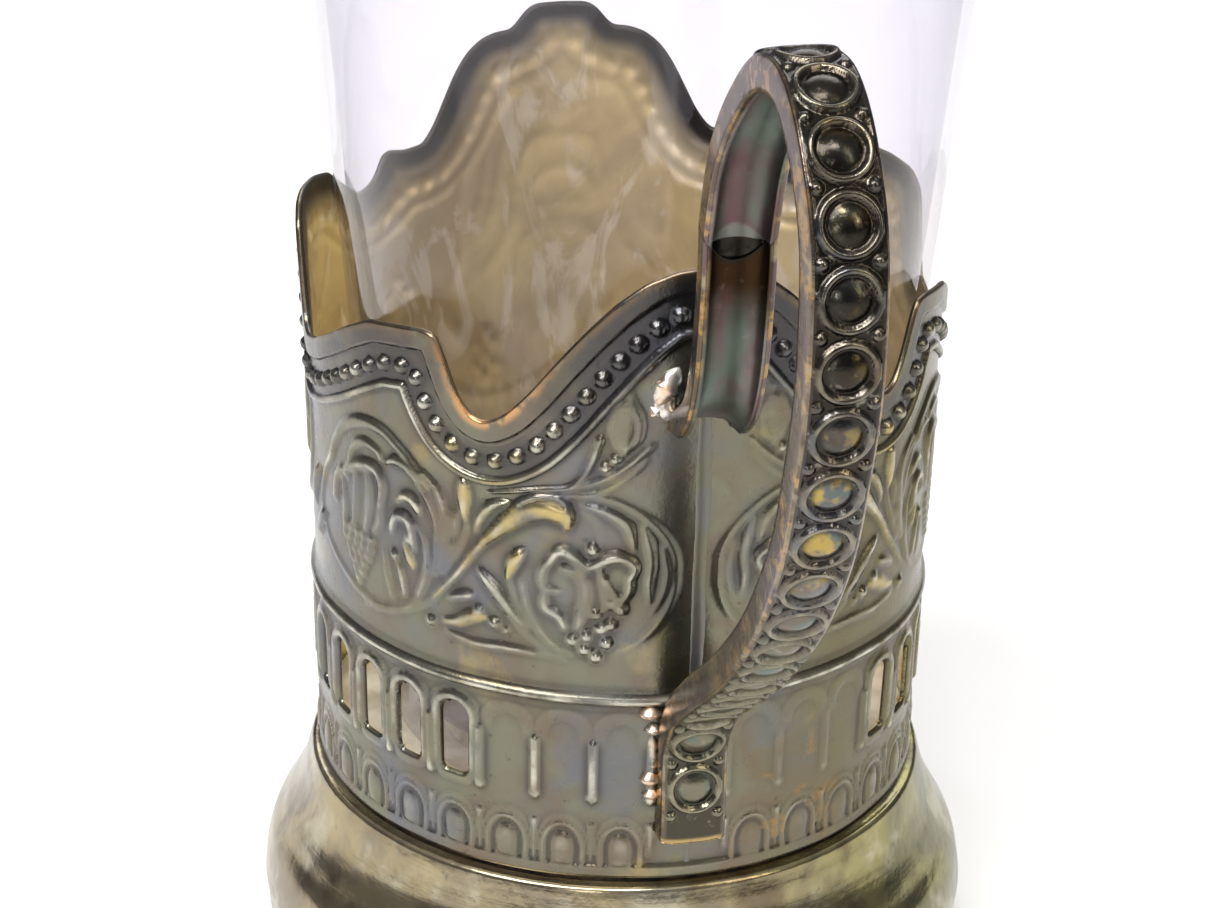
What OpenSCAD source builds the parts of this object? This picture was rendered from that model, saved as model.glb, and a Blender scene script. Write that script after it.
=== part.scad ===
// Tea glass holder with a stamped sheet sleeve, a bell base and a strap handle, and its glass.
// The origin is on the sleeve's axis in the plane that the base stands on.
// +Z is up, and the handle points along +X.

/* [Base] */
// Height of the base from the standing plane to the sleeve's lower edge
base_h = 27; // [22:0.5:34]
// Outer radius of the base at its bulge
base_bulge_r = 42.2; // [40:0.1:46]
// Height of the bulge above the standing plane
base_bulge_h = 10; // [8:0.5:12]
// Outer radius of the base just above its standing ring
base_foot_r = 41; // [40:0.1:41.8]
// Outer radius of the base's shoulder, just under the sleeve
base_shoulder_r = 36.2; // [35.8:0.1:37]
// Thickness of the spun base sheet
base_t = 0.8; // [0.6:0.1:1.2]
// Height of the rolled standing ring
base_ring_h = 1.8; // [1.2:0.1:2.4]
// How far the standing ring stands out
base_ring_proud = 0.8; // [0.4:0.1:1]
// Height of the collar that stands up inside the sleeve
collar_h = 3; // [2:0.1:4]

/* [Sleeve] */
// Outer radius of the sleeve at its lower edge
sleeve_low_r = 35; // [34:0.1:36]
// How far the sleeve widens from its lower edge to its crest
sleeve_flare = 1.4; // [0.8:0.1:2]
// Height of the rim's crest above the sleeve's lower edge
crest_h = 79.2; // [76:0.1:84]
// Thickness of the sleeve's sheet
sleeve_t = 0.7; // [0.5:0.05:0.8]
// Height of the plain lip along the lower edge
lip_h = 1.6; // [1:0.1:1.8]
// How far the lip stands out
lip_proud = 0.3; // [0.2:0.05:0.5]
// Height of the middle of the bead between gallery and relief field
ridge_h = 22.9; // [22.5:0.1:24]
// Radius of that bead
ridge_r = 0.8; // [0.5:0.1:1]
// Width of the open seam behind the handle, which the solder fills
seam_w = 0.9; // [0.6:0.1:1.4]
// How far the seam's solder stands out
seam_proud = 0.25; // [0.1:0.05:0.4]
// Height up to which the seam stands proud, under the bracket
seam_clear_h = 54; // [50:1:54]

/* [Rim pearls] */
// Distance between pearls along the rim
pearl_pitch = 2.65; // [2.4:0.05:3]
// Radius of a pearl
pearl_r = 0.88; // [0.6:0.02:1]
// Distance of the row of pearls below the rim
pearl_drop = 4.7; // [4:0.1:6]
// How far the pearls' centres stand out of the sleeve's face
pearl_out = 0.25; // [0.2:0.05:0.4]

/* [Gallery] */
// Number of bays in the gallery
bay_count = 33; // [29:1:35]
// Angle behind the handle that has no bay
seam_angle = 13.8; // [12:0.1:16]
// Number of blind bays on each side of the handle
blind_bays = 3; // [2:1:5]
// Width of a window
window_w = 3.4; // [2.8:0.1:3.8]
// Height of a window's sill above the sleeve's lower edge
window_sill_h = 10.6; // [10:0.1:12]
// Height at which a window's round head starts
window_spring_h = 17.8; // [16:0.1:18.2]
// Radius of the rib on each post between two windows
post_r = 0.5; // [0.3:0.05:0.7]
// Height of the foot of a post's rib
post_low_h = 9.6; // [9:0.1:10.5]
// Height of the head of a post's rib
post_high_h = 17.2; // [15:0.1:18.5]
// Depth of a blind bay's sunk panel
blind_depth = 0.3; // [0.15:0.05:0.4]
// Radius of the tongues in the row under the windows
tongue_r = 1.7; // [1.2:0.1:2]
// How far a tongue stands out
tongue_proud = 0.45; // [0.3:0.05:0.7]
// Height of a tongue's round head
tongue_high_h = 5; // [4.5:0.1:6]

/* [Floor] */
// Thickness of the floor disc
floor_t = 0.8; // [0.6:0.1:1.2]
// Radius of the ring bead pressed into the floor disc
floor_bead_r = 21; // [14:0.5:25]
// Height of that bead, which hangs below the disc
floor_bead_h = 0.8; // [0.4:0.1:1.2]

/* [Handle] */
// Reach of the handle's outer face from the sleeve's axis
strap_reach = 84.4; // [82:0.1:88]
// Height of the handle's highest point above the sleeve's lower edge
strap_top_h = 105.3; // [102:0.1:108]
// Width of the handle strap
strap_w = 7.6; // [7:0.1:8.6]
// Depth of the strap's channel
strap_d = 3.5; // [3:0.1:4]
// Depth of the strap where it lies on the sleeve
strap_foot_d = 2.3; // [1.8:0.1:2.6]
// Thickness of the strap's sheet
strap_t = 0.8; // [0.6:0.1:1]
// Height of the strap's lower end above the sleeve's lower edge
strap_foot_h = 5.6; // [5:0.1:7]

/* [Ring bosses] */
// Number of ring bosses along the strap
boss_count = 23; // [20:1:25]
// Plain length of the strap before the first boss's place, at the foot
boss_start = 3.6; // [3:0.2:5]
// Plain length of the strap after the last boss's place
boss_end = 4.8; // [4:0.2:8]
// Outer radius of a boss's ring
boss_r = 2.95; // [2.4:0.05:3.1]
// How far a boss stands out of the strap
boss_proud = 0.7; // [0.4:0.05:0.9]
// Radius of the small pearls between the bosses
boss_pearl_r = 0.55; // [0.4:0.05:0.7]
// Distance of these pearls' centres from the strap's edge
boss_pearl_inset = 0.7; // [0.6:0.05:0.9]

/* [Bracket] */
// Depth of the bracket's channel
bracket_d = 3.2; // [2.6:0.1:3.6]
// Length of the lap of the bracket's tongue inside the strap
lap_len = 3.5; // [2.5:0.1:4.5]
// Gap between the strap's end and the bracket's channel
lap_gap = 0.9; // [0.5:0.1:1.4]
// Thickness of the solder under the tongue
lap_t = 0.3; // [0.2:0.05:0.5]

/* [Glass] */
// Height of the glass
glass_h = 102; // [98:0.5:108]
// Outer radius of the glass at its foot
glass_foot_r = 28.1; // [27:0.1:29]
// How far the glass widens from its foot to its rim
glass_flare = 9.2; // [8.5:0.1:9.5]
// Thickness of the glass's wall
glass_t = 1.3; // [1:0.1:1.8]
// Thickness of the glass's bottom
glass_floor_t = 4; // [3:0.1:6]
// How far the glass stands to one side of the sleeve's axis
glass_shift = 1.3; // [0:0.1:1.4]

/* [Solder] */
// Radius of the largest solder bead beside the handle's foot
foot_bead_r = 1.5; // [1:0.1:1.8]
// Radius of the solder blob beside the bracket's foot
blob_r = 2.2; // [1.5:0.1:2.6]
// Gap between sleeve and base, which the joining solder fills
joint_gap = 0.6; // [0.4:0.1:1]
// Width of the ring of joining solder
joint_w = 0.5; // [0.3:0.05:0.6]

/* [Hidden] */
$fn = 96;

// Overrun of a cut past the face that it cuts
over = 0.5;
// Clearance between the base's collar and the sleeve
collar_gap = 0.05;
// Clearance on each side of the solder that fills the seam
seam_gap = 0.03;
// Radius of the rounded edges at the lip of the glass
glass_edge = glass_t / 2;
// Gap on each side of the bracket's tongue in the strap's channel
tongue_gap = 0.15;
// Height at which the gallery gives way to the picture, above its bead
gallery_h = ridge_h + 1.25 * ridge_r;
// Angle between two points of the rim
rim_step = 2;
// Number of points that a curve has between two of its given points
curve_steps = 5;
// Share of the strap's length over which its channel deepens
foot_share = 0.2;
// Angle between two posts
bay_pitch = (360 - seam_angle) / bay_count;
// Height of the floor's upper face above the standing plane
seat_h = base_h + collar_h + floor_t;

// The rim from the handle, at 0 degrees, to the crest, at 180: angle and share of the crest's height
rim_shares = [
    [0, 0.922], [5, 0.918], [10, 0.901], [15, 0.871], [20, 0.828], [25, 0.779], [29, 0.737], [33, 0.702],
    [36, 0.687], [38, 0.683], [40.5, 0.693], [43, 0.722], [45, 0.763], [46.8, 0.794], [50, 0.796],
    [56, 0.788], [62, 0.78], [68, 0.756], [76, 0.72], [84, 0.689], [90, 0.674], [94, 0.682], [96, 0.72],
    [97.5, 0.777], [99, 0.811], [103, 0.833], [109, 0.838], [116, 0.836], [123, 0.823], [128, 0.793],
    [133.5, 0.763], [137, 0.768], [139.2, 0.78], [141, 0.808], [142.5, 0.811], [146, 0.804],
    [150.8, 0.807], [153.5, 0.833], [156, 0.872], [158.3, 0.907], [160.7, 0.934], [163.8, 0.953],
    [167, 0.961], [170.2, 0.962], [171.6, 0.975], [173, 0.99], [175, 0.999], [180, 1]
];

// The strap's outer face above its foot: share of the reach from the foot's face, share of the height
strap_shares = [
    [0, 0.115], [0.012, 0.165], [0.085, 0.217], [0.215, 0.265], [0.445, 0.345], [0.655, 0.432],
    [0.825, 0.531], [0.945, 0.649], [1, 0.77], [0.975, 0.88], [0.868, 0.963], [0.705, 1],
    [0.525, 0.985], [0.35, 0.926], [0.215, 0.845], [0.158, 0.77]
];

// The bracket's outer face from its upper end to the sleeve, in the strap's shares
bracket_shares = [[0.15, 0.7], [0.142, 0.645], [0.11, 0.6], [0.045, 0.563], [-0.12, 0.519]];
// Least distance of the row of pearls from the rim, as a share of its drop
pearl_near_share = 0.97;

// Solder beads beside the strap's foot: angle, share of the strap's foot height to ridge, share of size
foot_bead_shares = [
    [-6.9, 0.93, 1], [-6.9, 0.84, 0.8], [-6.9, 0.75, 0.9], [-6.9, 0.66, 0.75],
    [-6.9, 0.57, 0.8], [-6.9, 0.48, 0.9], [-6.9, 0.39, 0.8]
];

// Lumps of the solder blob: angle, share of the crest's height, share of size
blob_shares = [[-6.2, 0.762, 0.72], [-6.6, 0.742, 1], [-7.6, 0.722, 0.6]];

// Profile of one ring boss: share of its radius and share of its height
boss_shares = [[0, 0.86], [0.3, 0.8], [0.52, 0.55], [0.6, 0.2], [0.68, 0.2], [0.78, 0.9], [0.9, 1],
               [1, 0.5]];

// Outer profile of the base between shoulder and bulge: share of the width, share of the height
base_shares = [[0, 0], [0.09, 0.116], [0.263, 0.33], [0.6, 0.573], [0.87, 0.756], [1, 1]];
// Outer profile of the base between bulge and standing ring, in the same way
base_low_shares = [[0.92, 0.24], [0.67, 0.58], [0.28, 0.86], [0, 1]];
// Round edge of the standing ring: share of how far it stands out, share of its height
ring_shares = [[0, 1], [0.6, 0.9], [0.95, 0.68], [1, 0.45], [0.85, 0.2], [0.5, 0]];

// Sleeve radius at a height above its lower edge
function sleeve_r(h) = sleeve_low_r + sleeve_flare * h / crest_h;
// Angle from the handle, whichever side it lies on
function fold(a) = let (b = ((a % 360) + 360) % 360) b > 180 ? 360 - b : b;
// Height of the rim above the sleeve's lower edge
function rim_h(a) = crest_h * lookup(fold(a), rim_shares);
// Radius of the glass's outer face at a height above its foot
function glass_r(h) = glass_foot_r + glass_flare * h / glass_h;
// Point of a spline through four points
function spline(a, b, c, d, t) =
    0.5 * ((2 * b) + (c - a) * t + (2 * a - 5 * b + 4 * c - d) * t * t + (3 * b - a - 3 * c + d) * t * t * t);
// Smooth line through a list of points
function smooth(p, n) = let (e = len(p) - 1) [
    for (i = [0:e - 1], j = [0:n - 1])
        spline(p[max(i - 1, 0)], p[i], p[i + 1], p[min(i + 2, e)], j / n),
    p[e]
];
// Step from the point before to point k of a line, nothing past its end
function step(p, k) = k < len(p) ? norm(p[k] - p[k - 1]) : 0;
// Lengths of a line up to each of its points
function runs(p) = [for (k = 0, s = 0; k < len(p); k = k + 1, s = s + step(p, k)) s];
// Point of a line at a length along it
function along(p, r, s) = [lookup(s, [for (k = [0:len(p) - 1]) [r[k], p[k][0]]]),
                           lookup(s, [for (k = [0:len(p) - 1]) [r[k], p[k][1]]])];
// Unit normal on the right-hand side of a line at its point k
function side(p, k) = let (e = len(p) - 1, t = p[min(k + 1, e)] - p[max(k - 1, 0)]) [t[1], -t[0]] / norm(t);

// Line set off from another by a depth on its left-hand side
function set_off(p, depth) = [for (k = [0:len(p) - 1]) p[k] - depth * side(p, k)];

// Outer face of the strap, from its foot to its end on the bracket
strap_face_r = sleeve_r(strap_foot_h) + strap_foot_d;
function strap_point(s) = [strap_face_r + (strap_reach - strap_face_r) * s[0], base_h + strap_top_h * s[1]];
strap_line = concat(
    [[strap_face_r, base_h + strap_foot_h]],
    smooth([for (s = strap_shares) strap_point(s)], curve_steps)
);
strap_runs = runs(strap_line);
strap_len = strap_runs[len(strap_runs) - 1];
strap_end = strap_line[len(strap_line) - 1];
boss_pitch = (strap_len - boss_start - boss_end) / boss_count;
// Depth of the strap's channel at its point k: shallow on the foot, then full
function depth_at(k) =
    strap_foot_d + (strap_d - strap_foot_d) * min(1, strap_runs[k] / (strap_len * foot_share));
// The strap's line set off inwards by its channel's depth and a bit more
function strap_off(more) = [
    for (k = [0:len(strap_line) - 1]) strap_line[k] - (depth_at(k) + more) * side(strap_line, k)
];
// The part of the strap's line where the tongue laps it, set off inwards
function lap_off(depth) = [
    for (k = [0:len(strap_line) - 1])
        if (strap_len - strap_runs[k] <= lap_len) strap_line[k] - depth * side(strap_line, k)
];

// Outer face of the bracket, from its top to the sleeve
bracket_top = strap_end - [0, lap_gap];
bracket_line = smooth(concat([bracket_top], [for (s = bracket_shares) strap_point(s)]), curve_steps);
// Widths inside the channels of strap and bracket, and of the tongue between them
trough_w = strap_w - 2 * strap_t;
tongue_w = trough_w - 2 * tongue_gap;

// Space inside the sleeve, up to its outer face less a depth
module sleeve_core(depth) {
    translate([0, 0, base_h - over])
        cylinder(
            h = crest_h + 2 * over,
            r1 = sleeve_r(-over) - depth,
            r2 = sleeve_r(crest_h + over) - depth,
            $fn = 180
        );
}

// Ring that holds everything under the rim
module rim_mask() {
    steps = 360 / rim_step;
    inner_r = sleeve_low_r - sleeve_t - 4 * over;
    outer_r = sleeve_low_r + sleeve_flare + 4 * over;
    function ring(r, low) = [
        for (i = [0:steps - 1]) let (a = i * rim_step)
            [r * cos(a), r * sin(a), low ? base_h - over : base_h + rim_h(a)]
    ];
    points = concat(ring(inner_r, true), ring(outer_r, true), ring(outer_r, false), ring(inner_r, false));
    faces = [
        for (i = [0:steps - 1], k = [0:3]) let (
            j = (i + 1) % steps,
            a = k * steps,
            b = ((k + 1) % 4) * steps
        ) each [[a + i, b + j, a + j], [a + i, b + i, b + j]]
    ];
    polyhedron(points, faces);
}

// Sheet wall above the gallery, cut along the rim
module picture_wall() {
    intersection() {
        difference() {
            translate([0, 0, base_h + gallery_h])
                cylinder(
                    h = crest_h - gallery_h + over,
                    r1 = sleeve_r(gallery_h),
                    r2 = sleeve_r(crest_h + over),
                    $fn = 180
                );
            sleeve_core(sleeve_t);
        }
        rim_mask();
    }
}

// Solid inside the gallery's outer face, with its lip and bead
module gallery_body() {
    rotate_extrude($fn = 180)
        polygon([
            [0, base_h],
            [sleeve_r(0) + lip_proud, base_h],
            [sleeve_r(lip_h) + lip_proud, base_h + lip_h - lip_proud],
            [sleeve_r(lip_h), base_h + lip_h],
            [sleeve_r(gallery_h), base_h + gallery_h],
            [0, base_h + gallery_h]
        ]);
    translate([0, 0, base_h + ridge_h])
        rotate_extrude($fn = 180)
            translate([sleeve_r(ridge_h), 0])
                circle(r = ridge_r, $fn = 24);
}

// Arch-topped prism that points outwards from the axis, from one radius to another
module arch_prism(r_in, r_out, w, low_h, spring_h) {
    rotate([90, 0, 90])
        translate([0, 0, r_in])
            linear_extrude(height = r_out - r_in) {
                translate([-w / 2, base_h + low_h])
                    square([w, spring_h - low_h]);
                translate([0, base_h + spring_h])
                    circle(d = w, $fn = 32);
            }
}

// Rib between two bays
module post() {
    translate([sleeve_r(post_low_h), 0, base_h + post_low_h])
        cylinder(h = post_high_h - post_low_h, r = post_r, $fn = 16);
}

// Angle of the middle of bay i
function bay_angle(i) = (seam_angle + bay_pitch) / 2 + i * bay_pitch;
// A bay beside the handle isn't pierced
function is_blind(i) = i < blind_bays || i >= bay_count - blind_bays;

// The rim, and the row of pearls set off from it, rolled out flat as length and height
rim_line = [for (a = [0:rim_step:360]) [a * PI * sleeve_low_r / 180, rim_h(a)]];
pearl_line = [
    for (q = set_off(rim_line, -pearl_drop))
        if (min([for (r = rim_line) norm(q - r)]) > pearl_drop * pearl_near_share) q
];
pearl_runs = runs(pearl_line);
pearl_len = pearl_runs[len(pearl_runs) - 1];
pearl_count = floor(pearl_len / pearl_pitch);

// Row of pearls along the rim
module rim_pearls() {
    for (i = [0:pearl_count - 1]) {
        p = along(pearl_line, pearl_runs, (i + 0.5) * pearl_len / pearl_count);
        rotate([0, 0, p[0] * 180 / PI / sleeve_low_r])
            translate([sleeve_r(p[1]) + pearl_out, 0, base_h + p[1]])
                sphere(r = pearl_r, $fn = 16);
    }
}

// Lower part of the sheet wall, with its ribs, pierced under the picture
module gallery_wall() {
    difference() {
        union() {
            gallery_body();
            for (i = [0:bay_count])
                rotate([0, 0, seam_angle / 2 + i * bay_pitch])
                    post();
        }
        sleeve_core(sleeve_t);
        for (i = [0:bay_count - 1])
            rotate([0, 0, bay_angle(i)])
                arch_prism(
                    sleeve_r(window_sill_h) - (is_blind(i) ? blind_depth : sleeve_t + over),
                    sleeve_r(crest_h) + over,
                    window_w,
                    window_sill_h,
                    window_spring_h
                );
    }
}

module sleeve() {
    color("#8d8468") {
        difference() {
            union() {
                gallery_wall();
                picture_wall();
                rim_pearls();
            }
            translate([0, -seam_w / 2, base_h - over])
                cube([sleeve_r(crest_h) + pearl_out + pearl_r, seam_w, crest_h + 2 * over]);
        }
        for (i = [0:bay_count - 1])
            rotate([0, 0, bay_angle(i)])
                arch_prism(
                    sleeve_r(0) - sleeve_t / 2,
                    sleeve_r(tongue_high_h) + tongue_proud,
                    2 * tongue_r,
                    lip_h / 2,
                    tongue_high_h
                );
    }
}

module sleeve_seam() {
    color("#6d6a63")
        intersection() {
            rotate_extrude($fn = 180)
                polygon([
                    [sleeve_r(0) - sleeve_t, base_h],
                    [sleeve_r(0) + seam_proud, base_h],
                    [sleeve_r(seam_clear_h) + seam_proud, base_h + seam_clear_h],
                    [sleeve_r(seam_clear_h), base_h + seam_clear_h],
                    [sleeve_r(crest_h), base_h + crest_h],
                    [sleeve_r(crest_h) - sleeve_t, base_h + crest_h]
                ]);
            translate([0, seam_gap - seam_w / 2, base_h])
                cube([sleeve_r(crest_h) + over, seam_w - 2 * seam_gap, rim_h(0) - over]);
        }
}

// Outer profile of the base from the shoulder down to the standing plane
shoulder_h = base_h - joint_gap;
base_line = concat(
    smooth(concat(
        [for (s = base_shares) [
            base_shoulder_r + (base_bulge_r - base_shoulder_r) * s[0],
            shoulder_h - (shoulder_h - base_bulge_h) * s[1]
        ]],
        [for (s = base_low_shares) [
            base_foot_r + (base_bulge_r - base_foot_r) * s[0],
            base_bulge_h - (base_bulge_h - base_ring_h) * s[1]
        ]]
    ), curve_steps),
    [for (s = ring_shares) [base_foot_r + base_ring_proud * s[0], base_ring_h * s[1]]]
);
wall_points = len(base_line) - len(ring_shares);
collar_r = sleeve_r(0) - sleeve_t - collar_gap;

module base() {
    inside = set_off(base_line, -base_t);
    color("#a99a5f")
        rotate_extrude($fn = 180)
            polygon(concat(
                [[collar_r, base_h + collar_h], [collar_r, shoulder_h]],
                base_line,
                [[base_foot_r - base_t, 0]],
                [for (k = [wall_points - 1:-1:0]) if (inside[k][1] < shoulder_h - base_t) inside[k]],
                [[collar_r - base_t, shoulder_h - base_t], [collar_r - base_t, base_h + collar_h]]
            ));
}

module base_solder() {
    color("#3e392f")
        translate([0, 0, shoulder_h])
            rotate_extrude($fn = 180)
                translate([collar_r, 0])
                    square([joint_w, joint_gap]);
}

module floor_disc() {
    color("#9a9070")
        translate([0, 0, base_h + collar_h])
            rotate_extrude($fn = 180)
                polygon([
                    [0, 0],
                    [floor_bead_r - floor_bead_h - floor_t, 0],
                    [floor_bead_r - floor_t, -floor_bead_h],
                    [floor_bead_r + floor_t, -floor_bead_h],
                    [floor_bead_r + floor_bead_h + floor_t, 0],
                    [collar_r, 0],
                    [collar_r, floor_t],
                    [floor_bead_r + floor_bead_h, floor_t],
                    [floor_bead_r, floor_t - floor_bead_h],
                    [floor_bead_r - floor_bead_h, floor_t],
                    [0, floor_t]
                ]);
}

// Band between two lines, extruded across the handle
module band(outer, inner, w) {
    rotate([90, 0, 0])
        linear_extrude(height = w, center = true)
            polygon(concat(outer, [for (k = [len(inner) - 1:-1:0]) inner[k]]));
}

// One ring boss, standing on the strap's face
module boss() {
    rotate_extrude($fn = 36)
        polygon(concat(
            [for (s = boss_shares) [boss_r * s[0], boss_proud * s[1]]],
            [[boss_r, -strap_t / 2], [0, -strap_t / 2]]
        ));
}

// Places a part on the strap's outer face at a length along it
module on_strap(s) {
    p = along(strap_line, strap_runs, s);
    q = along(strap_line, strap_runs, s + over);
    t = q - p;
    translate([p[0], 0, p[1]])
        rotate([0, atan2(t[0], t[1]) + 90, 0])
            children();
}

// The strap before its channel is sunk
module strap_blank() {
    band(strap_line, strap_off(0), strap_w);
}

module handle_strap() {
    web = set_off(strap_line, strap_t);
    past = strap_off(over);
    last = len(web) - 1;
    color("#7b6a5c")
        difference() {
            union() {
                strap_blank();
                for (i = [0:boss_count - 1])
                    on_strap(boss_start + (i + 0.5) * boss_pitch)
                        boss();
                for (i = [0:boss_count], s = [-1, 1])
                    on_strap(boss_start + i * boss_pitch)
                        translate([0, s * (strap_w / 2 - boss_pearl_inset), 0])
                            sphere(r = boss_pearl_r, $fn = 16);
            }
            band(
                concat([web[0] + [0, strap_t]], [for (k = [1:last]) web[k]], [web[last] - [0, over]]),
                concat([past[0] + [0, strap_t]], [for (k = [1:last]) past[k]], [past[last] - [0, over]]),
                trough_w
            );
            sleeve_core(0);
            translate([0, -seam_w / 2 - seam_proud, base_h])
                cube([sleeve_r(crest_h) + 2 * seam_proud, seam_w + 2 * seam_proud, rim_h(0)]);
        }
}

// The bracket before its channel is sunk
module bracket_blank() {
    band(bracket_line, set_off(bracket_line, bracket_d), strap_w);
}

module handle_bracket() {
    joggle = bracket_top + [2 * strap_t + lap_t, -strap_t];
    color("#77695c")
        difference() {
            union() {
                difference() {
                    bracket_blank();
                    band(set_off(bracket_line, strap_t), set_off(bracket_line, bracket_d + over), trough_w);
                }
                band(
                    concat(lap_off(strap_t + lap_t), [bracket_top + [strap_t / 2, -strap_t]]),
                    concat(lap_off(2 * strap_t + lap_t), [joggle]),
                    tongue_w
                );
            }
            sleeve_core(0);
        }
}

module lap_solder() {
    color("#8a8578")
        band(lap_off(strap_t), lap_off(strap_t + lap_t), tongue_w);
}

module bracket_solder() {
    color("#b7b3a4")
        difference() {
            for (s = blob_shares)
                rotate([0, 0, s[0]])
                    translate([sleeve_r(crest_h * s[1]), 0, base_h + crest_h * s[1]])
                        sphere(r = blob_r * s[2], $fn = 24);
            sleeve_core(0);
            bracket_blank();
        }
}

module foot_solder() {
    color("#b9a077")
        difference() {
            for (s = foot_bead_shares)
                rotate([0, 0, s[0]])
                    translate([sleeve_r(0), 0, base_h + ridge_h * s[1]])
                        sphere(r = foot_bead_r * s[2], $fn = 24);
            sleeve_core(0);
            strap_blank();
        }
}

module glass() {
    color("#dfe0e8", 0.4)
        translate([0, glass_shift, seat_h])
            rotate_extrude($fn = 180)
                polygon([
                    [0, 0],
                    [glass_foot_r - glass_edge, 0],
                    [glass_r(glass_edge), glass_edge],
                    [glass_r(glass_h), glass_h - glass_edge],
                    [glass_r(glass_h) - glass_t / 3, glass_h],
                    [glass_r(glass_h) - 2 * glass_t / 3, glass_h],
                    [glass_r(glass_h) - glass_t, glass_h - glass_edge],
                    [glass_r(glass_floor_t) - glass_t, glass_floor_t],
                    [0, glass_floor_t]
                ]);
}

base();
base_solder();
sleeve();
sleeve_seam();
floor_disc();
handle_strap();
handle_bracket();
lap_solder();
bracket_solder();
foot_solder();
glass();
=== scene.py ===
import math

import bpy
import numpy as np
from mathutils import Matrix, Vector


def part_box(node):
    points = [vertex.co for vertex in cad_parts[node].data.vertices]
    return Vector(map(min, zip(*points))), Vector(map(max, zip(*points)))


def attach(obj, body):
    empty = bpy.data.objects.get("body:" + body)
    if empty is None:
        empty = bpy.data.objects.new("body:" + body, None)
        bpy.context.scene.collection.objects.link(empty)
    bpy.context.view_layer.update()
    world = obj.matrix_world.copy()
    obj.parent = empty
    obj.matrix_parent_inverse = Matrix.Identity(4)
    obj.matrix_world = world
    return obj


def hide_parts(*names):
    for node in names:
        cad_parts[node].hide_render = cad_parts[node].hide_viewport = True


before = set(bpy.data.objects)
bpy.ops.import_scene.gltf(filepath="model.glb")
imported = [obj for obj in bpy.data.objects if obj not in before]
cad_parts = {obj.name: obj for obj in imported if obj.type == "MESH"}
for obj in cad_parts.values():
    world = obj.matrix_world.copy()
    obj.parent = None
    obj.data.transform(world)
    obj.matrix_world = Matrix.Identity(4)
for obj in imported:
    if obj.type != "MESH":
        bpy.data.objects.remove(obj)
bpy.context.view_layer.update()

# Lengths are in millimetres of the row frame, and become metres when a mesh is made
MM = 0.001
BASE_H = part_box("sleeve")[0][2] / MM
SEAT_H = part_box("glass")[0][2] / MM
SLEEVE_R = 35.0
SLEEVE_FLARE = 1.4
SLEEVE_T = 0.7
CREST_H = 79.2
DEG = math.pi / 180
ARC = SLEEVE_R * 1.01 * DEG

# Camera, as the photograph's perspective gives it: the handle's plane lies this far to its right
CAMERA_AZIMUTH = -13.5
CAMERA_DISTANCE = 351.0
CAMERA_HEIGHT = 196.0 + BASE_H
CAMERA_YAW = -0.31
CAMERA_PITCH = 24.55
CAMERA_ROLL = 1.16
CAMERA_LENS = 99.0
SENSOR = 36.0


def make_camera():
    yaw, pitch, roll = (a * DEG for a in (CAMERA_YAW, CAMERA_PITCH, CAMERA_ROLL))
    forward = Vector((math.sin(yaw) * math.cos(pitch), math.cos(yaw) * math.cos(pitch), -math.sin(pitch)))
    level = Vector((math.cos(yaw), -math.sin(yaw), 0))
    upright = level.cross(forward)
    right = math.cos(roll) * level + math.sin(roll) * upright
    up = -math.sin(roll) * level + math.cos(roll) * upright
    turn = Matrix.Rotation((90 + CAMERA_AZIMUTH) * DEG, 3, "Z")
    place = turn @ Vector((0, -CAMERA_DISTANCE, CAMERA_HEIGHT)) * MM
    axes = Matrix((turn @ right, turn @ up, turn @ -forward)).transposed()
    data = bpy.data.cameras.new("camera")
    data.sensor_width = SENSOR
    data.lens = CAMERA_LENS
    data.clip_start = 0.01
    camera = bpy.data.objects.new("camera", data)
    camera.matrix_world = Matrix.Translation(place) @ axes.to_4x4()
    bpy.context.collection.objects.link(camera)
    bpy.context.scene.camera = camera


make_camera()


# Curves and small helpers

def smooth_line(points, steps):
    """Points of a spline through the given ones, with steps points from each to the next."""
    p = np.asarray(points, float)
    q = np.vstack([p[:1], p, p[-1:]])
    t = (np.arange(steps) / steps)[:, None]
    out = []
    for i in range(len(p) - 1):
        a, b, c, d = q[i:i + 4]
        out.append(0.5 * (2 * b + (c - a) * t + (2 * a - 5 * b + 4 * c - d) * t ** 2
                          + (3 * b - a - 3 * c + d) * t ** 3))
    return np.vstack(out + [p[-1:]])


def lengths(line):
    """Length of a line up to each of its points."""
    return np.concatenate([[0], np.cumsum(np.linalg.norm(np.diff(line, axis=0), axis=1))])


def resample(line, step):
    """The same line with points about one step apart."""
    run = lengths(line)
    at = np.linspace(0, run[-1], max(2, int(round(run[-1] / step)) + 1))
    return np.stack([np.interp(at, run, line[:, k]) for k in range(line.shape[1])], axis=1)


def normals(line):
    """Unit normals of a line of two coordinates, to the right of its run."""
    step = np.gradient(line, axis=0)
    return np.stack([step[:, 1], -step[:, 0]], axis=1) / np.linalg.norm(step, axis=1)[:, None]


def set_off(line, by):
    """Both coordinates of rows of points set off to the right of a line, a row for each of its points."""
    return [line[:, k:k + 1] + by * normals(line)[:, k:k + 1] for k in (0, 1)]


def smoothstep(x, low, high):
    """0 below low, 1 above high, smooth between."""
    t = np.clip((x - low) / (high - low), 0, 1)
    return t * t * (3 - 2 * t)


def bump(x):
    """A round bump of height 1 over -1 to 1."""
    return np.sqrt(np.clip(1 - x * x, 0, 1))


def swell(x):
    """A softer bump of height 1 over -1 to 1, as stamped into sheet."""
    return np.clip(1 - x * x, 0, 1) ** 0.75


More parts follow.
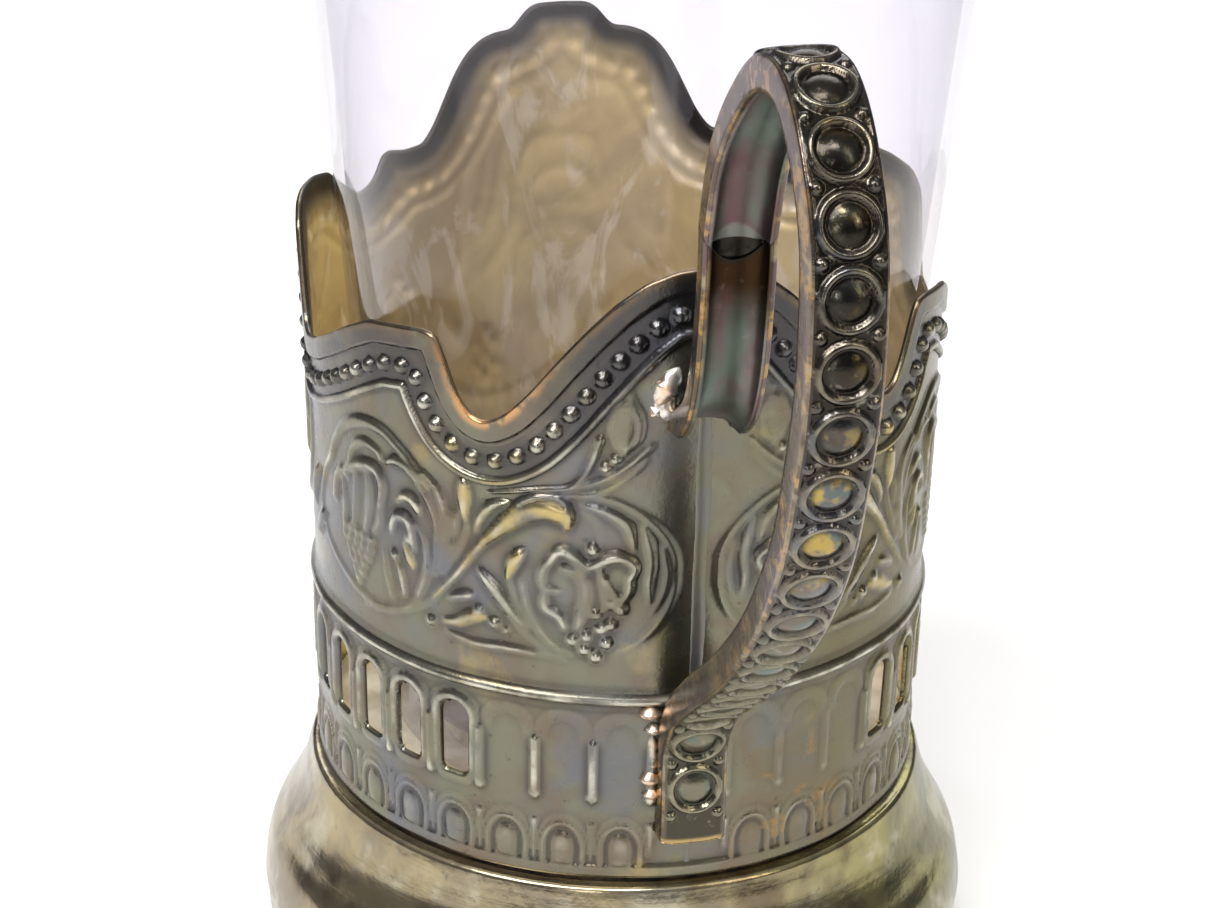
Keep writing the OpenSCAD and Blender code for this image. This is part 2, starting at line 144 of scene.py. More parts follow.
def blurred(field, times):
    """The field smoothed over its neighbours, round the sleeve and up it."""
    for _ in range(times):
        field = (field + np.roll(field, 1, 1) + np.roll(field, -1, 1)) / 3
        inner = (field[:-2] + field[1:-1] + field[2:]) / 3
        field = np.vstack([field[:1], inner, field[-1:]])
    return field


def outwards(points, faces):
    """The same faces, turned so that a closed shape's normals point out of it."""
    a, b, c = (points[faces[:, k]] for k in (0, 1, 2))
    d = points[faces[:, 3]]
    volume = np.einsum("ij,ij->", a, np.cross(b, c)) + np.einsum("ij,ij->", a, np.cross(c, d))
    return faces if volume > 0 else faces[:, ::-1]


def mesh_object(name, verts, faces, flat=(), shades={}):
    """Object of equal faces, smooth apart from those in flat; shades are numbers kept at each point."""
    faces = np.asarray(faces, np.int32)
    mesh = bpy.data.meshes.new(name)
    mesh.vertices.add(len(verts))
    mesh.vertices.foreach_set("co", (np.asarray(verts) * MM).ravel())
    mesh.loops.add(faces.size)
    mesh.loops.foreach_set("vertex_index", faces.ravel())
    mesh.polygons.add(len(faces))
    mesh.polygons.foreach_set("loop_start", np.arange(0, faces.size, faces.shape[1], dtype=np.int32))
    smooth = np.ones(len(faces), bool)
    smooth[np.asarray(flat, int)] = False
    mesh.polygons.foreach_set("use_smooth", smooth)
    mesh.update(calc_edges=True)
    mesh.validate()
    for key, values in shades.items():
        layer = mesh.attributes.new(key, "FLOAT", "POINT")
        layer.data.foreach_set("value", np.asarray(values, np.float32).ravel())
    piece = bpy.data.objects.new(name, mesh)
    bpy.context.collection.objects.link(piece)
    return piece


def grid_faces(rows, columns):
    """Quads of a grid of points, rows by columns, its last column joined to its first."""
    r = np.arange(rows - 1)[:, None] * columns
    c = np.arange(columns)[None, :]
    n = (c + 1) % columns
    return np.stack([r + c, r + n, r + columns + n, r + columns + c], axis=-1).reshape(-1, 4)


def rows_of(x, y, z):
    """One row for each point, from grids of its coordinates."""
    return np.stack([x, y, z], axis=-1).reshape(-1, 3)


def around(radius, a, z):
    """Points round the axis, from radii, angles in radians and heights."""
    return rows_of(radius * np.cos(a), radius * np.sin(a), z + 0 * a)


def turned(name, profile, count, reshape):
    """Surface of revolution of a closed outline of (radius, height) points, all moved by reshape at last."""
    profile = np.asarray(profile, float)
    points = around(profile[:, :1], np.arange(count) * 2 * math.pi / count, profile[:, 1:])
    faces = grid_faces(len(profile) + 1, count) % len(points)
    return mesh_object(name, reshape(points), outwards(points, faces))


# The sleeve's shape

def sleeve_radius(z):
    return SLEEVE_R + SLEEVE_FLARE * z / CREST_H


# The rim from the handle round to the crest: angle, share of the crest's height
RIM_SHARES = [
    (0, 0.922), (5, 0.918), (10, 0.902), (15, 0.871), (20, 0.828), (25, 0.779), (29, 0.737), (33, 0.702),
    (36, 0.687), (38, 0.683), (40.5, 0.693), (43, 0.722), (45, 0.763), (46.8, 0.794), (50, 0.795), (56, 0.788),
    (62, 0.78), (68, 0.756), (76, 0.72), (84, 0.689), (90, 0.674), (94, 0.682), (96, 0.72), (97.5, 0.777),
    (99, 0.811), (103, 0.833), (109, 0.838), (116, 0.836), (123, 0.823), (128, 0.793), (133.5, 0.763),
    (137, 0.768), (139.2, 0.78), (141, 0.808), (142.5, 0.811), (146, 0.804), (150.8, 0.807), (153.5, 0.833),
    (156, 0.872), (158.3, 0.907), (160.7, 0.934), (163.8, 0.953), (167, 0.961), (170.2, 0.962), (171.6, 0.975),
    (173, 0.99), (175, 0.999), (180, 1),
]
PEARL_PITCH = 2.65
PEARL_R = 0.88
PEARL_H = 0.85
PEARL_DROP = 4.7
RIM_LINE_DROP = 7.0

BAY_COUNT = 33
SEAM_ANGLE = 13.8
BLIND_BAYS = 3
BAY_PITCH = (360 - SEAM_ANGLE) / BAY_COUNT
WINDOW_W = 3.4
WINDOW_SILL = 10.6
WINDOW_SPRING = 17.8
WINDOW_CORNER = 0.8
RIDGE_H = 22.6
GALLERY_TOP = 25.0
EGG_H = 3.6
LIP_H = 1.45

COLUMNS = 864
LOW_ROWS = 165
HIGH_ROWS = 95
SPLIT_H = 45.0
# How many columns to each side are searched for the nearest point of the rim
RIM_REACH = 36
EDGE_R = 0.34


def rim_height(angle):
    """Height of the rim above the sleeve's lower edge, corners eased over about a degree."""
    knots = np.array(RIM_SHARES)
    fine = np.arange(-10, 190.01, 0.2)
    raw = np.interp(np.abs(fine), knots[:, 0], knots[:, 1])
    raw = np.where(fine > 180, np.interp(360 - fine, knots[:, 0], knots[:, 1]), raw)
    width = np.arange(-12, 13)
    weight = np.exp(-(width * 0.2 / 0.8) ** 2 / 2)
    eased = np.convolve(raw, weight / weight.sum(), mode="same")
    folded = np.abs((np.asarray(angle) + 180) % 360 - 180)
    return CREST_H * np.interp(folded, fine, eased)


# Share of the given heights to which leaves and stems are stamped
RELIEF = 0.86
LEAF_SHAPE = (0.15, 0.45, 0.75, 0.95, 1.0, 0.85, 0.3)


class Relief:
    """Heights stamped into the sleeve, over points given as length along the wall and height."""

    def __init__(self, u, z):
        self.u, self.z = u, z
        self.h = np.zeros_like(u)
        self.gold = np.zeros_like(u)

    def near(self, low, high, margin):
        return np.nonzero((self.u > low[0] - margin) & (self.u < high[0] + margin)
                          & (self.z > low[1] - margin) & (self.z < high[1] + margin))

    def raise_to(self, where, heights):
        self.h[where] = np.maximum(self.h[where], heights)

    def stroke(self, places, width, height, gold=0, beads=0):
        """A raised line; its width goes through the given ones, beads is a spacing."""
        line = smooth_line(np.reshape(places, (-1, 2)) * (ARC, 1), 6)
        run = lengths(line)
        halves = np.interp(run / run[-1], np.linspace(0, 1, len(width)), width) / 2
        where = self.near(line.min(0), line.max(0), halves.max())
        if not len(where[0]):
            return
        u, z = self.u[where], self.z[where]
        best = np.full(len(u), 9.0)
        at = np.zeros(len(u))
        for i in range(len(line) - 1):
            p, d = line[i], line[i + 1] - line[i]
            t = np.clip(((u - p[0]) * d[0] + (z - p[1]) * d[1]) / max(d @ d, 1e-9), 0, 1)
            far = np.hypot(u - p[0] - t * d[0], z - p[1] - t * d[1])
            share = far / np.maximum(halves[i] + t * (halves[i + 1] - halves[i]), 0.05)
            closer = share < best
            best[closer] = share[closer]
            at[closer] = run[i] + t[closer] * (run[i + 1] - run[i])
        rise = 1.0 if not beads else 0.55 + 0.45 * np.abs(np.cos(at * math.pi / beads))
        self.raise_to(where, RELIEF * height * swell(best) * rise)
        self.gold[where] = np.maximum(self.gold[where], gold * swell(best))

    def dot(self, angle, z, radius, height):
        centre = (angle * ARC, z)
        where = self.near(centre, centre, radius)
        far = np.hypot(self.u[where] - centre[0], self.z[where] - z) / radius
        self.raise_to(where, height * bump(far))

    def mound(self, angle, z, radius, height):
        """A soft swelling under everything near it."""
        far = np.hypot(self.u - angle * ARC, self.z - z) / radius
        self.h = np.maximum(self.h, height * swell(far))

    def press(self, marks):
        """Stamp marks of (places, width, height, gold, bead spacing), places being angle, height, angle, ...

        One place is a dot, and its width a radius. A mark with one width is a leaf: narrow, full, and round
        at its far end. One with several is a line.
        """
        for places, width, height, *more in marks:
            if len(places) == 2:
                self.dot(*places, width, height)
            elif isinstance(width, tuple):
                self.stroke(places, width, height, *more)
            else:
                self.stroke(places, [width * s for s in LEAF_SHAPE], height, *more)


def dots(radius, height, *places):
    """Marks of dots of one size; places are angle, height, angle, ..."""
    return [(places[i:i + 2], radius, height) for i in range(0, len(places), 2)]


# Soft swellings under the two vine leaves: angle, height, radius, rise
MOUNDS = [(22.9, 36.2, 2.3, 0.2), (17.4, 35.6, 2.6, 0.16), (13.2, 37.4, 1.7, 0.14), (66.5, 39.8, 5.2, 0.22)]

# The oval wreath with its vine leaf and grapes beside the handle, on each side alike
VINE = [
    ((22.9, 46.9, 15.9, 46.8, 11, 45.5, 6.8, 43.3, 4.2, 40.7, 3.6, 37.8, 4.3, 34.9, 6.3, 32.3, 9.6, 30, 13.3,
     28.5), (0.4, 0.7, 0.8, 0.8, 0.7, 0.4), 0.34),
    ((20, 46, 15.5, 45.2, 12.2, 43.6, 10.9, 41), 1.7, 0.42),
    ((8.1, 34.2, 8.4, 37, 8.1, 40, 9.5, 43.8), 1.7, 0.42),
    ((7.5, 33.4, 5.9, 35.5, 5.2, 38.2, 6.1, 41.4), 1.1, 0.36),
    ((20, 45.2, 17.5, 44.1, 16.4, 41.6), (0.3, 0.5, 0.3), 0.25),
    # Vine leaf: lobes round a hollow middle
    ((25.3, 38.9, 23.8, 40.3, 21.5, 39.9, 18.6, 38.6), (1, 1.4, 1.5, 1), 0.62),
    ((18.6, 38.6, 16.1, 39.6, 13.2, 40, 10.7, 39, 11.3, 37.8), (1, 1.5, 1.5, 1.3, 0.9), 0.66),
    ((11.7, 37.6, 11.7, 36.2, 13.1, 35, 14.8, 36.1, 15.6, 37.5), (0.9, 1.2, 1.3, 1.1, 0.8), 0.52),
    ((25.3, 39.1, 26.7, 37.5, 26.2, 35.8, 23.5, 35.6), (1, 1.3, 1.3, 0.9), 0.55),
    ((22.7, 38.3, 20.4, 37.8, 19.1, 36, 19.5, 33.3, 20.5, 31.3), (1.6, 2, 2.1, 1.9, 1.1), 0.5),
    ((26.1, 35.6, 26.2, 33.5, 23.7, 32.5, 22.6, 31.2), (0.9, 1.4, 1.4, 0.9), 0.5),
    ((16.8, 38.6, 16, 36, 15.7, 33.8), (0.8, 1, 0.6), 0.5),
    ((18, 40.8), 0.72, 0.6),
    *dots(0.78, 0.62, 13, 33.8, 14.7, 32, 16.4, 31.4, 18.8, 30.4, 15.4, 29.7, 21.2, 29.8, 19.2, 28.8, 17.1, 28,
     17.2, 33.2, 14.6, 34.6),
]

# The big hatched frond and the small leaves between the two wreaths
FROND = [
    ((47.7, 31.6, 43, 35.1, 39, 38.7, 36.2, 40.8), (0.3, 0.7, 0.9, 1.1), 0.6, 0.5),
    ((37, 40.2, 33.1, 42.8, 29.6, 44.5, 26.2, 45.1, 23.6, 44.7), (1.1, 2, 2.7, 3, 2.4), 0.85, 1),
    ((33.4, 43.9, 29.8, 45.9, 26.3, 46.7, 23, 46.2, 21.4, 44.4), (0.4, 0.7, 0.7, 0.7, 0.5), 0.85, 0, 0.75),
    ((24.6, 45.4, 22.5, 44.9, 22.4, 43), 1.5, 0.8, 0.7),
    ((39, 40.7, 38.1, 42.6, 35.8, 44.5, 32.8, 45.3), 1.15, 0.7, 0.3),
    ((41, 42, 41.2, 44, 41.3, 46.8), 1.9, 0.65, 0.8),
    ((41.3, 46.8, 41.2, 44.2, 41, 42), 1.1, 0.6),
    ((43.8, 42.8, 44.4, 39.6, 46, 36.6), (0.3, 0.8, 0.4), 0.4),
    ((40.7, 41.6, 41.9, 38.8, 45.5, 34.7), (0.3, 0.9, 0.4), 0.42),
    ((42.4, 42, 43.2, 38.6, 46, 35), (0.3, 0.5, 0.3), 0.34),
    ((47.7, 31.3, 51.6, 29.6, 59.1, 27.6, 66, 26.9), (0.5, 0.6, 0.5, 0.3), 0.3),
    ((36.2, 46, 28.3, 47.2, 22.9, 47.7, 18, 48.6, 14.4, 49.8, 11.2, 51.4, 8.4, 53.2), (0.3, 0.5, 0.6, 0.7, 0.7,
     0.7, 0.5), 0.42),
    ((24, 46.9, 17, 47.6, 12.6, 49.3, 9.2, 51.4), (0.3, 0.5, 0.5, 0.3), 0.34),
    # Upper bud with its petals and two beads
    ((22.9, 47.7, 20, 49.1, 18.2, 51.4, 17, 54), 1, 0.5),
    ((17.1, 53.6), 0.5, 0.55),
    ((13, 52, 13.2, 54.5, 12.6, 57.8), 3.2, 0.42),
    ((13.9, 52.6, 15.3, 55, 14, 58.2, 12.4, 59), (0.4, 0.5, 0.5, 0.3), 0.5),
    ((13.2, 52.4, 10.9, 53.6, 10.4, 56, 12.2, 58.9), (0.4, 0.5, 0.5, 0.3), 0.5),
    ((16, 50.5), 0.6, 0.62),
    ((14.4, 51.5), 0.6, 0.62),
    # Leaves and beads under the frond
    ((48.3, 28.6), 0.62, 0.62),
    ((45.8, 29.2, 42.8, 29.6, 40, 30.6, 37.2, 30.9), 1.9, 0.5, 0.8),
    ((44.8, 32, 42.4, 32.7, 39.6, 33.3), 1.3, 0.55),
    ((38.4, 31.6), 0.6, 0.6),
    ((35.4, 30.4), 0.66, 0.7),
    ((33.2, 29.8), 0.42, 0.5),
    ((29.1, 30.4, 32.2, 32.3, 34.9, 34.3, 38.3, 36.5), 1.7, 0.62),
    ((33.1, 36, 31.8, 38.2, 30.3, 39.8), 1.6, 0.85, 1),
    ((30.4, 36.2, 29.5, 33.4, 27.3, 31, 24.7, 29.2, 21.3, 27.9), (0.4, 0.7, 0.6, 0.5, 0.3), 0.44),
    ((32.8, 36.4, 31.4, 33.6, 28.8, 31.2, 26, 29.2, 23, 28), (0.3, 0.5, 0.5, 0.4, 0.3), 0.36),
    ((36.5, 34.4, 33, 31.9, 29.4, 29.6, 25.4, 28), (0.3, 0.5, 0.5, 0.3), 0.34),
    ((45, 28, 39.2, 27.5, 33.5, 27.7, 28.2, 27.6), (0.5, 1, 1.1, 0.7), 0.52, 0, 0.8),
    ((28.2, 27.6, 25, 27.5, 22.6, 27.2), (0.6, 0.6, 0.5), 0.34, 0, 0.9),
]

# The oval wreath on the sleeve's flank: a hanging vine leaf, grapes, and drops along its side
FLANK = [
    ((84, 35, 81, 39.4, 77.6, 42, 75.9, 44, 72.2, 46.8, 66.3, 49, 60, 49.4, 55.3, 48.1, 51.6, 46.6, 48.7, 44.6),
     (0.5, 0.8, 1.3, 1.5, 1.4, 0.6), 0.55),
    ((48.7, 44.6, 46.4, 41.8, 47.1, 37.6, 49, 33.3, 52.9, 29.6, 59.1, 27.8, 67.2, 27.8, 74.1, 29.2, 80.4, 31.5,
     84, 35), (0.4, 0.6, 0.7, 0.6), 0.34),
    ((69.5, 43, 68.4, 45.3, 64.8, 46.8, 60.9, 46.6, 60, 45.7), (0.9, 1.3, 1.3, 0.8), 0.45),
    # Vine leaf hanging from the curl
    ((76, 37.5, 75, 40, 72.6, 41.6, 70, 41.4), (1.2, 1.8, 1.6, 0.8), 0.55),
    ((70.6, 42.2, 66, 43.8, 61.4, 44.3, 59.6, 42.6, 60.2, 40.2), (1.1, 1.5, 1.6, 1.4, 0.9), 0.7),
    ((67.3, 42.5, 67.5, 39.5, 68.7, 36), (1.2, 2, 1), 0.5),
    ((63.4, 43, 63, 40.3, 64.7, 36.4), (1.4, 2.3, 1), 0.6),
    ((72, 40.6, 71.6, 38, 72.4, 34.8), (1.1, 1.7, 0.8), 0.5),
    ((60.2, 40.6, 60.8, 38, 62.2, 36.6), (1, 1.4, 0.7), 0.45),
    *[((67.4 + (k - (count - 1) / 2) * 2.1 + 0.3 * (row % 2), 35.2 - row * 1.15), 0.74, 0.46)
      for row, count in enumerate((5, 5, 4, 3, 2, 1)) for k in range(count)],
    # Drops and beads along the wreath's near side
    ((58.4, 45.6, 56, 46.5, 53, 46.3, 50.6, 45), 1.7, 0.75),
    ((56, 41.6, 54, 42.6, 52, 42.5, 50.4, 41.2), 1.5, 0.6, 0.5),
    ((57.5, 37.7, 56.2, 39.7, 53.4, 40, 52.1, 38, 51.8, 36.4), (0.5, 1.2, 1.4, 1, 0.4), 0.7),
    ((53.1, 37.6), 0.6, 0.6),
    ((54.4, 37.2, 53.4, 36, 52.2, 34.4), 1.5, 0.45, 0.9),
    ((56.7, 35), 0.62, 0.6),
    ((56.5, 34.6, 55.2, 33.2, 54.3, 30.6), (0.5, 1.1, 0.6), 0.5),
    ((59.4, 34.8, 58.6, 32, 57.6, 29.6), (0.4, 1, 0.5), 0.34),
    ((51.2, 39.7, 49.5, 37.8, 49.3, 34.6, 51.5, 31.2), (0.4, 0.8, 0.8, 0.4), 0.45),
    # Long frond that follows the wreath outside
    ((49.6, 46.3, 46.9, 44.8, 45.2, 42, 45.9, 37.8, 47.6, 34.2), (0.5, 1.2, 1.3, 1, 0.4), 0.55, 0, 0.9),
    ((51.6, 45, 48.6, 43, 47, 40.6, 47.2, 37.4), (0.3, 0.8, 0.8, 0.4), 0.5),
    *[(ends, 0.9, 0.45) for ends in ((45.2, 38.4, 44, 42.2), (43.8, 39.4, 42.4, 42.8), (46.4, 35.8, 43.6, 38.8),
     (46.8, 34.4, 44.8, 37))],
]

# The lyre and scrolls under the crest, opposite the handle
BACK = [
    ((173.1, 61.4, 171.4, 57.5, 170.6, 53.5, 168.9, 50, 165, 46.7, 160.4, 45), (0.5, 0.9, 1, 1, 0.8, 0.4), 0.5),
    ((169.7, 64.7, 167.6, 59.8, 166.3, 55.4, 164.1, 51.5, 161, 49.5), (0.5, 0.9, 1, 0.8, 0.4), 0.5),
    ((173.1, 61.4, 175.5, 62.5, 180, 62.6), (0.6, 0.8, 0.8), 0.5),
    ((180, 58.6, 176.2, 57.8, 173.6, 55.6, 174.6, 53.6, 178, 53.6, 180, 54.6), (0.6, 0.9, 1, 0.8, 0.6, 0.5),
     0.55),
    ((180, 51.4, 175.4, 50.8, 171.8, 48.4, 171.6, 45.4, 174.6, 44), (0.6, 1, 1, 0.8, 0.4), 0.5),
    ((176.3, 65.6, 177, 68.2, 178.6, 69.9, 180, 70.3), (0.5, 0.8, 0.9, 0.9), 0.5),
    ((173.6, 66, 173.8, 69, 176, 71.6, 180, 72.6), (0.4, 0.6, 0.7, 0.7), 0.4),
    ((180, 63.6, 180, 66, 180, 68.4), 2, 0.5),
    ((159.2, 61.7, 158.5, 54.6, 158.6, 48.6, 156, 44.5), (0.5, 1.6, 1.7, 0.6), 0.5),
    ((164.7, 61, 163.7, 56.4, 160.4, 49.3), (0.4, 1.1, 0.6), 0.42),
    ((166.4, 68.4, 163.8, 65.2, 160.2, 60.5, 157.5, 56), (0.5, 0.9, 0.9, 0.4), 0.45),
    ((174, 47.6, 169.7, 44, 168.9, 40.6, 171.4, 39, 173, 41), (0.5, 0.9, 0.9, 0.7, 0.4), 0.5),
    ((180, 43, 180, 39, 180, 34.5), 3, 0.6),
    ((177.6, 42, 175.4, 38.6, 174, 35.4), 1.8, 0.5),
    ((180, 33, 174, 30.6, 166, 29.2, 158, 30.6, 152.5, 35, 150.8, 40, 153, 44.5), (0.5, 0.8, 0.9, 0.9, 0.8, 0.7,
     0.4), 0.45),
    *dots(0.8, 0.75, 166, 33.4, 164, 32, 162, 33.4, 164, 34.8, 165.6, 36.4, 162.2, 36.4, 164, 38),
    ((160, 36, 157.6, 38, 156, 41), 1.8, 0.5),
    # Branch towards the flank, under the side lobe
    ((150.8, 38, 146, 33.6, 139, 31, 131, 31.6, 124.6, 35, 121, 40.4, 122.4, 46, 127.6, 49.6), (0.5, 0.8, 0.9,
     0.9, 0.9, 0.8, 0.7, 0.4), 0.45),
    ((121, 40, 116.4, 34.4, 109.6, 31.2, 101, 31.4, 94.6, 34.6, 91, 40, 92, 45.8), (0.4, 0.8, 0.9, 0.9, 0.8,
     0.7, 0.4), 0.45),
    *[((a, z, (a + b) / 2 + 0.8, (z + top) / 2, b, top), 2, 0.55) for a, z, b, top in (
       (146, 36, 142, 41.5), (139, 34, 136.4, 40), (131.6, 35, 131.6, 41), (127.6, 40, 131, 45.4),
       (113, 36, 109.4, 41.6), (105.6, 34.6, 103.6, 40.6), (99, 36, 100, 42), (96, 41, 99.6, 46.6),
       (88.6, 33, 85.6, 38.4), (85.6, 30, 82.4, 33.6))],
    *dots(0.85, 0.75, 112, 47, 109.6, 48.6, 107.2, 47, 109.6, 45.4, 109.6, 51, 145, 46, 142.6, 47.6, 140.2, 46,
     142.6, 44.4),
    ((109.6, 53, 109.6, 55.4, 109.6, 58), 2.2, 0.55),
    ((106.4, 51.6, 103.6, 53.6, 101.8, 56.2), 1.7, 0.5),
    ((112.8, 51.6, 115.6, 53.6, 117.4, 56.2), 1.7, 0.5),
]


def window_distance(v, z):
    """Distance outside a window's outline, negative inside it; v is measured from the bay's middle."""
    half, corner = WINDOW_W / 2, WINDOW_CORNER
    side = np.abs(v) - (half - corner)
    below = (WINDOW_SILL + corner) - z
    box = np.hypot(np.maximum(side, 0), np.maximum(below, 0)) + np.minimum(np.maximum(side, below), 0) - corner
    return np.where(z > WINDOW_SPRING, np.hypot(v, z - WINDOW_SPRING) - half, box)


def bay_place(angle):
    """Distance from the nearest bay's middle, and whether that bay is pierced."""
    folded = np.abs((angle + 180) % 360 - 180)
    turn = angle % 360
    bay = np.floor((turn - SEAM_ANGLE / 2) / BAY_PITCH)
    middle = SEAM_ANGLE / 2 + (bay + 0.5) * BAY_PITCH
    inside = (bay >= 0) & (bay < BAY_COUNT)
    pierced = (bay >= BLIND_BAYS) & (bay < BAY_COUNT - BLIND_BAYS)
    v = np.where(inside, (turn - middle) * ARC, (folded - SEAM_ANGLE / 2 - BAY_PITCH / 2) * ARC)
    return v, pierced


def gallery_relief(angle, v, pierced, z):
    """Arches round the windows, ribs between them, the row of eggs and darts, the bead and the lip."""
    faint = 1 - 0.6 * smoothstep(angle, 1, 8) * smoothstep(-angle, -42, -34)
    away = window_distance(v, z)
    from_sill = 0.35 + 0.65 * smoothstep(z, WINDOW_SILL - 0.6, WINDOW_SILL + 1.6)
    open_arch = 0.5 * swell((away - 0.72) / 0.72) * from_sill
    open_arch += 0.16 * swell((away - 1.6) / 0.4) * smoothstep(z, WINDOW_SPRING - 2, WINDOW_SPRING)
    blind_arch = 0.14 * swell((away - 0.9) / 0.9) * smoothstep(z, WINDOW_SPRING - 2, WINDOW_SPRING + 1)
    from_post = np.abs(np.abs(v) - BAY_PITCH * ARC / 2)
    egg = np.hypot(v / 1.45, np.where(z > EGG_H, (z - EGG_H) / 2.3, (EGG_H - z) / 6))
    shell = np.hypot(v / 2.25, np.where(z > EGG_H, (z - EGG_H) / 3.1, (EGG_H - z) / 9))
    dart_w = 0.62 * np.clip((z - 1.6) / 5.2, 0.15, 1)
    return np.maximum.reduce([
        np.where(pierced, open_arch, blind_arch),
        np.where(pierced, 0.56, 0.44 * faint) * bump(np.hypot(from_post, z - np.clip(z, 10, 16.9)) / 0.56),
        0.52 * faint * bump(np.hypot(from_post, z - 10.2) / 0.68),
        # Eggs, the shell round each, and the darts between
        0.5 * swell(egg) * (z > 1.7) * (0.4 + 0.6 * faint),
        0.26 * swell((shell - 1) / 0.16) * (z > 1.7),
        0.12 * swell((shell - 1.28) / 0.12) * (z > 3),
        0.26 * swell(np.hypot(from_post, z - np.clip(z, 2, 6.6)) / dart_w),
        # Bead over the gallery, with a fine line on each side, and the plain lip
        0.66 * bump((z - RIDGE_H) / 0.58),
        0.2 * swell((z - RIDGE_H) / 1.5),
        0.3 * (z < LIP_H) + 0.3 * bump((z - LIP_H) / 0.25) * (z >= LIP_H),
    ])


def rim_pearls(rim):
    """Centres of the pearls: the rim set off downwards by their drop, where it keeps its distance."""
    line = rim + PEARL_DROP * normals(rim)
    gap = np.array([np.hypot(*(rim - p).T).min() for p in line])
    line = line[gap > PEARL_DROP * 0.97]
    run = lengths(line)
    count = int(run[-1] / PEARL_PITCH)
    at = (np.arange(count) + 0.5) * run[-1] / count
    return np.stack([np.interp(at, run, line[:, k]) for k in (0, 1)], axis=1)


def hammered(angle, z):
    """Slow waves of a thin stamped sheet, in mm."""
    a = angle * DEG
    return (0.09 * np.sin(3 * a + 1) + 0.05 * np.sin(7 * a + z / 17) + 0.04 * np.sin(z / 9 + 11 * a + 2)
            + 0.025 * np.sin(z / 4.3 - 19 * a))


def sleeve_grid():
    """Angle, height and distance to the rim of the sleeve's points, and the rim as a line along the wall."""
    angle = -180 + np.arange(COLUMNS) * 360 / COLUMNS
    cell = 360 / COLUMNS * ARC
    rim = rim_height(angle)
    low = np.linspace(0, SPLIT_H, LOW_ROWS)[:, None] + 0 * rim
    share = (np.arange(1, HIGH_ROWS + 1) / HIGH_ROWS)[:, None]
    z = np.vstack([low, SPLIT_H + (rim - SPLIT_H) * share])
    a = np.broadcast_to(angle, z.shape).copy()
    # Points near a window's outline move onto it
    v, pierced = bay_place(a)
    away = window_distance(v, z)
    slope_v = (window_distance(v + 0.01, z) - window_distance(v - 0.01, z)) / 0.02
    slope_z = (window_distance(v, z + 0.01) - window_distance(v, z - 0.01)) / 0.02
    snap = pierced & (np.abs(away) < 0.62 * cell)
    a = np.where(snap, a - away * slope_v / ARC, a)
    z = np.where(snap, z - away * slope_z, z)
    to_rim = np.full(z.shape, 99.0)
    for k in range(-RIM_REACH, RIM_REACH + 1):
        to_rim = np.minimum(to_rim, np.hypot((a - angle) * ARC - k * cell, z - np.roll(rim, -k)))
    return a, z, to_rim, np.stack([angle * ARC, rim], axis=1)


def pierced_faces(a, z, is_open, away):
    """Faces of the double wall with its windows cut out, its edges last, and how many those are."""
    rows = z.shape[0]
    half = rows * COLUMNS
    quads = grid_faces(rows, COLUMNS)
    hole = (is_open & (away < 0.02)).ravel()
    middle_v, middle_open = bay_place(a.ravel()[quads].mean(axis=1))
    centre = window_distance(middle_v, z.ravel()[quads].mean(axis=1))
    over_join = quads[:, 1] % COLUMNS == 0
    quads = quads[~(hole[quads].all(axis=1) & middle_open & (centre < 0) & ~over_join)]
    sides = np.concatenate([quads[:, [k, (k + 1) % 4]] for k in range(4)])
    key = np.sort(sides, axis=1).astype(np.int64) @ (half, 1)
    _, first, times = np.unique(key, return_index=True, return_counts=True)
    rims = sides[first[times == 1]]
    walls = np.stack([rims[:, 1], rims[:, 0], rims[:, 0] + half, rims[:, 1] + half], axis=1)
    return np.vstack([quads, quads[:, ::-1] + half, walls]), len(walls)


